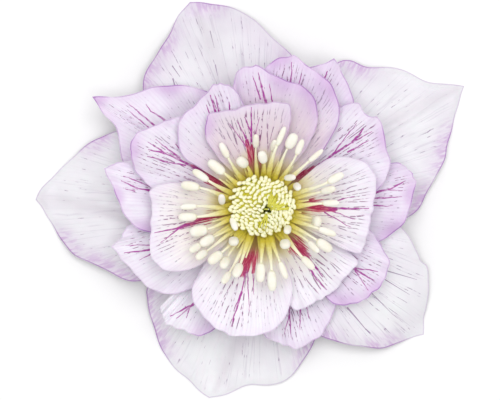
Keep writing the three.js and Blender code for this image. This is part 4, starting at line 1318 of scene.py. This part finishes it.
# %% Where the open anthers lie
OPEN_ANTHERS = np.array([
    (-173, 13.7, 3.3, 1.5), (-160, 12.3, 3.2, 1.9), (-150, 5.9, 2.5, 1.15), (-149, 11.7, 2.9, 1.7),
    (-149, 14.2, 2.6, 1.3), (-142, 14.0, 2.6, 1.4), (-133, 12.5, 3.0, 1.7), (-130, 8.0, 2.1, 1.75),
    (-124, 12.1, 2.6, 1.6), (-117, 14.4, 2.6, 1.3), (-111, 12.3, 2.8, 1.6), (-91, 11.9, 3.5, 1.6),
    (-82, 13.5, 3.7, 1.6), (-71, 12.1, 3.3, 1.1), (-57, 7.9, 2.2, 1.85), (-50, 13.2, 3.0, 1.3),
    (-40, 6.2, 1.95, 1.3), (-37, 11.9, 2.8, 1.1), (-31, 13.4, 3.2, 1.7), (-20, 12.8, 3.3, 1.2),
    (-14, 10.4, 2.4, 2.1), (4, 12.7, 3.0, 1.1), (15, 12.6, 2.8, 1.3), (22, 14.6, 3.2, 1.4),
    (31, 7.6, 1.85, 1.25), (44, 13.8, 3.3, 0.9), (47, 7.6, 2.2, 1.1), (58, 13.1, 3.0, 1.1),
    (66, 13.4, 3.0, 1.8), (75, 13.6, 3.7, 1.0), (79, 11.6, 2.4, 1.1), (89, 9.3, 2.4, 1.55),
    (95, 12.3, 2.6, 1.1), (113, 9.1, 2.4, 1.7), (123, 12.6, 3.0, 1.2), (138, 11.2, 3.6, 1.7),
    (152, 12.7, 3.3, 1.3), (163, 13.7, 3.3, 1.6), (168, 7.5, 2.1, 1.2), (179, 13.4, 3.0, 1.1),
])
TURNED_ANTHERS = {-150: 80, -130: 40, -57: -23, -40: -65, 31: -86, 47: -42, 89: 16, 113: 27, 168: -73}
RIPENED = [[1], [1], [1.05], [1.1]]
STANDING_REACH = 10

open_bearing, open_reach, open_seen, open_width = OPEN_ANTHERS.T * RIPENED
open_count = len(OPEN_ANTHERS)
standing = open_reach < STANDING_REACH
twist = random.uniform(-9, 9, open_count)
twist = np.array([TURNED_ANTHERS.get(int(b), t) for b, t in zip(open_bearing, twist)])
print(open_count, "open anthers, of which", int(standing.sum()), "still stand up")

# %% [markdown]
# Height and tilt of an anther
#
# How far an anther tilts follows from how long it looks from above: a short one points upward. Those
# that lie back rest just above the top tier of petals, and none may stand out above the solids' box.

# %% Lie of the open anthers
STANDING_LENGTH, LYING_LENGTH = 2.7, 3.2
STANDING_LIFT, LYING_LIFT = (2.5, 3.1), (0.5, 1.2)
ANTHER_GAP, BLOOM_TOP = 1.1, 19.85
LEAST_SEEN = 0.15

open_length = np.maximum(np.where(standing, STANDING_LENGTH, LYING_LENGTH), open_seen)
flat_share = np.clip((open_seen - open_width) / (open_length - open_width), LEAST_SEEN, 1)
steep_share = np.sqrt(1 - flat_share**2)
open_direction = polar(open_bearing + twist, flat_share, steep_share)
standing_lift = random.uniform(*STANDING_LIFT, open_count)
lift = np.where(standing, standing_lift, random.uniform(*LYING_LIFT, open_count))
half_height = open_width / 2 * flat_share + open_length / 2 * steep_share
open_height = np.minimum(tier_height(TOP_TIER, open_reach) + ANTHER_GAP + lift, BLOOM_TOP - half_height)
open_centre = polar(open_bearing, open_reach, open_height)
print("the highest anther ends", round(float((open_height + half_height).max()), 2), "mm up")

# %% [markdown]
# Two pollen sacs
#
# An anther is two pollen sacs side by side, so its section is an ellipse pinched above and below.
# Ripe pollen makes it cream and powdery, a little yellower at the foot.

# %% Open anthers
ANTHER_WHITE = paint(245, 242, 232)
ANTHER_CREAM = paint(240, 236, 218)
ANTHER_FOOT = paint(230, 224, 170)
ANTHER_FLATNESS = 0.8


def two_sacs(turn):
    """The section of an anther: a circle, less a narrow furrow above and below."""
    return 1 - 0.12 * np.abs(np.sin(turn)) ** 10


def anther_finish():
    """Cream, a little yellower in patches, with the powdery relief of ripe pollen."""
    s = Finish("anther", ANTHER_WHITE)
    place = s.place()
    powder = s.noise(place, 6.0, 2)
    s.coat(s.noise(place, 0.5, 2).step(0.35, 0.7), ANTHER_CREAM)
    s.coat(0.5 * s.field("share").step(0.12, 0.0), ANTHER_FOOT)
    return s.done(0.6 + 0.2 * powder, powder, 0.15, 0.3)


sacs = capsule(open_centre, open_direction, open_length, open_width, steps=12, fullness=2.5)
add_tubes("open_anthers", anther_finish(), "open_stamens", "anther", sacs, 16, ANTHER_FLATNESS,
          section=two_sacs)

# %% [markdown]
# Filaments
#
# A filament leaves the collar under the head almost level and meets its anther end on. A curve that is
# told its two ends and its direction at each does exactly that, and the cubic of the rims is one.

# %% Filaments of the open anthers
COLLAR = 3.5
INSIDE_ANTHER = 0.2
FILAMENT_STEPS = 14


def bent(start, leaving, end, arriving):
    """Cubics from start to end that leave and arrive in the two given directions."""
    t = np.linspace(0, 1, FILAMENT_STEPS)[None, :, None]
    return cubic(t, *(given[:, None] for given in (start, leaving, end, arriving)))


foot = open_centre - open_direction * (open_length[:, None] / 2 - INSIDE_ANTHER)
root_bearing = open_bearing + random.uniform(-4, 4, open_count)
root = polar(root_bearing, COLLAR, SEAT + 0.5 + random.uniform(0, 0.5, open_count))
span = np.linalg.norm(foot - root, axis=1)[:, None]
filament_paths = bent(root, polar(root_bearing, 1, 0.3) * span, foot, open_direction * span * 0.8)
print("the longest filament spans", round(float(span.max()), 1), "mm")

# %% [markdown]
# Spent filaments
#
# Between them lie shorter filaments that have lost their anthers. They are left out in line with a
# wedge, because there the crimson is seen whole. All are flat ribbons that narrow outward, olive by
# the head, yellow-green further out and cream at the tip.

# %% Spent filaments
SPENT_COUNT, SPENT_REACH, SPENT_LIFT, WEDGE_ROOM = 44, (7.0, 10.0), 0.7, 5

spent_bearing = np.arange(SPENT_COUNT) * 360 / SPENT_COUNT + random.uniform(-5, 5, SPENT_COUNT)
wedge_ends = np.array([strokes[0][2:4] for strokes in WEDGES.values()])
wedge_bearing = np.degrees(np.arctan2(wedge_ends[:, 1], wedge_ends[:, 0]))
spent_bearing = spent_bearing[apart(spent_bearing, wedge_bearing).min(axis=1) > WEDGE_ROOM]
spent_reach = random.uniform(*SPENT_REACH, spent_bearing.size)
spent_tip = spent_bearing + random.uniform(-3, 3, spent_bearing.size)
spent_end = polar(spent_tip, spent_reach, tier_height(TOP_TIER, spent_reach) + SPENT_LIFT)
spent_run = polar(spent_bearing, 1, 0.25) * (spent_reach - COLLAR)[:, None]
spent_paths = bent(polar(spent_bearing, COLLAR, SEAT + 0.35), spent_run, spent_end, spent_run)
print("spent filaments:", spent_bearing.size)

# %% Open filaments
FILAMENT_GREEN = paint(228, 219, 148)
FILAMENT_CREAM = paint(243, 239, 214)
FILAMENT_OLIVE = paint(212, 195, 62)
FILAMENT_HALF, FILAMENT_TAPER, FILAMENT_FLATNESS = 0.56, 0.34, 0.42
SPENT_HALF, SPENT_TAPER = 0.54, 0.4


def filament_finish():
    """Green, then cream outward and olive inward, with fine streaks."""
    s = Finish("filament", FILAMENT_GREEN)
    place = s.place()
    streak = s.noise(s.stretched(place, 2.0, 2.0, 1.0), 1.0, 2)
    radius = s.vector("LENGTH", s.stretched(place, 1.0, 1.0, 0.0), output=1) + 2 * (streak - 0.5)
    s.coat(radius.step(7.4, 11.0), FILAMENT_CREAM)
    s.coat(radius.step(8.6, 5.8), FILAMENT_OLIVE)
    return s.done(0.45 + 0.2 * streak, streak, 0.15, 0.25)


paths = np.concatenate([filament_paths, spent_paths])
share = np.broadcast_to(np.linspace(0, 1, FILAMENT_STEPS), paths.shape[:2])
half = FILAMENT_HALF - FILAMENT_TAPER * smooth_step(0.2, 0.95, share)
half[open_count:] = SPENT_HALF - SPENT_TAPER * smooth_step(0.3, 1, share[open_count:])
half = half * random.uniform(0.8, 1.15, len(paths))[:, None]
ribbons = paths, half, share
add_tubes("open_filaments", filament_finish(), "open_stamens", "anther", ribbons, 10, FILAMENT_FLATNESS)

# %% [markdown]
# The receptacle and its stub of stalk
#
# Everything hangs on this short green column. Each whorl leaves a faint ring round it, and below the
# lowest sepals it narrows to the stalk. The stalk is flushed maroon in streaks, as a hellebore's often
# is, and was cut straight across, so that its pale pith shows.

# %% Receptacle
STALK_RADIUS, SWELL, RING = 1.68, 1.66, 0.04
STEM_AROUND, STEM_RIDGES, STEM_RIDGE_DEPTH = 72, 12, 0.03
CUT_END = [(0.02, 0.1), (0.7, 0.1), (1.15, 0.06), (1.5, 0.0), (1.62, 0.03)]
TOP_END = [(3.2, RECEPTACLE_TOP - 0.12), (2.9, RECEPTACLE_TOP), (0.02, RECEPTACLE_TOP)]


def stalk_radius(height):
    """The stalk's radius, swelling on an S-shaped curve into the column, with a faint ring per whorl."""
    ring = RING * np.cos(2 * np.pi * (height - LOWEST_CLAW) / TIER_STEP) * smooth_step(2.4, 3.2, height)
    return STALK_RADIUS + SWELL * smooth_step(0.7, 2.7, height) + ring


heights = np.linspace(0.12, RECEPTACLE_TOP - 0.35, 60)
profile = np.vstack([CUT_END, np.stack([stalk_radius(heights), heights], axis=1), TOP_END])
stem = turned(profile, STEM_AROUND, STEM_RIDGES, STEM_RIDGE_DEPTH).reshape(-1, 3)
ring = np.arange(STEM_AROUND)
stem_faces = grid_faces(len(profile), STEM_AROUND, wrap=True).tolist()
stem_faces += [ring[::-1].tolist(), (len(stem) - STEM_AROUND + ring).tolist()]
print("the column is", round(2 * float(stalk_radius(np.array(6.0))), 2), "mm thick")

# %% Receptacle finish
STEM_GREEN = paint(150, 160, 74)
STEM_PALE = paint(178, 184, 96)
MAROON = paint(128, 60, 70)
PITH = paint(214, 216, 170)


def receptacle_finish():
    """Fresh green, flushed maroon in streaks along the stalk, with pale pith on the cut."""
    s = Finish("receptacle", STEM_GREEN)
    place = s.place()
    radius = s.vector("LENGTH", s.stretched(place, 1.0, 1.0, 0.0), output=1)
    height = s.height(place)
    streak = s.noise(s.stretched(place, 2.2, 2.2, 0.35), 1.0, 3)
    s.coat(streak.step(0.3, 0.7), STEM_PALE)
    s.coat(0.6 * (streak.step(0.5, 0.66) * height.step(5.0, 1.0)), MAROON)
    s.coat(height.step(0.16, 0.1) * radius.step(1.5, 1.2), PITH)
    return s.done(0.45 + 0.2 * streak, streak, 0.25, 0.15)


mesh = make_mesh("receptacle_skin", stem, stem_faces)
add_piece("receptacle_skin", mesh, receptacle_finish(), "receptacle")

# %% [markdown]
# Floor and light
#
# White petals on a white floor need light from everywhere, as in a light tent, or their shadows turn
# grey. A bright sky does most of that. One wide soft lamp, almost overhead, gives the petals form.

# %% Floor, lamp and sky
FLOOR_WHITE, FLOOR_ROUGHNESS = (0.93, 0.93, 0.93, 1), 0.9
FLOOR_HALF, FLOOR_DROP = 900, 0.05
LAMP_PLACE, LAMP_SIZE, LAMP_WATTS = (0.03, 0.1, 0.85), 0.7, 5.4
SKY_STRENGTH = 0.52

paper = Finish("floor", FLOOR_WHITE)
paper.feed(paper.shader.inputs["Base Color"], paper.color)
paper.feed(paper.shader.inputs["Roughness"], FLOOR_ROUGHNESS)
corners = np.array([(-1, -1, 0), (1, -1, 0), (1, 1, 0), (-1, 1, 0)]) * FLOOR_HALF - (0, 0, FLOOR_DROP)
floor_mesh = make_mesh("floor", corners, [[0, 1, 2, 3]])
floor_mesh.materials.append(paper.material)
floor = add_object("floor", floor_mesh)

light = bpy.data.lights.new("wide_lamp", "AREA")
light.size, light.energy = LAMP_SIZE, LAMP_WATTS
lamp = add_object("wide_lamp", light)
lamp.location = LAMP_PLACE
lamp.rotation_euler = (-lamp.location).to_track_quat("-Z", "Y").to_euler()

world = bpy.data.worlds.new("light_tent")
world.use_nodes = True
world.node_tree.nodes["Background"].inputs["Color"].default_value = (1, 1, 1, 1)
world.node_tree.nodes["Background"].inputs["Strength"].default_value = SKY_STRENGTH
bpy.context.scene.world = world
bpy.context.scene.view_settings.view_transform = "Standard"
print("the lamp hangs", LAMP_PLACE[2], "m over the bloom")

# %% [markdown]
# The camera
#
# The bloom is looked at from straight above, from far off through a long lens. A short lens close by
# would make the raised inner petals look too large against the sepals behind them.

# %% Camera
PICTURE_WIDTH, PICTURE_HEIGHT = 92.8, 8
CAMERA_DISTANCE = 900

camera_data = bpy.data.cameras.new("camera")
camera_data.lens = camera_data.sensor_width * CAMERA_DISTANCE / PICTURE_WIDTH
camera = add_object("camera", camera_data)
camera.location = (0, 0, (PICTURE_HEIGHT + CAMERA_DISTANCE) * MM)
bpy.context.scene.camera = camera
print("a lens of", round(camera_data.lens), "mm shows", PICTURE_WIDTH, "mm at", PICTURE_HEIGHT, "mm up")

# %% [markdown]
# Sizes
#
# The finished bloom should fill much the same box as its solids.
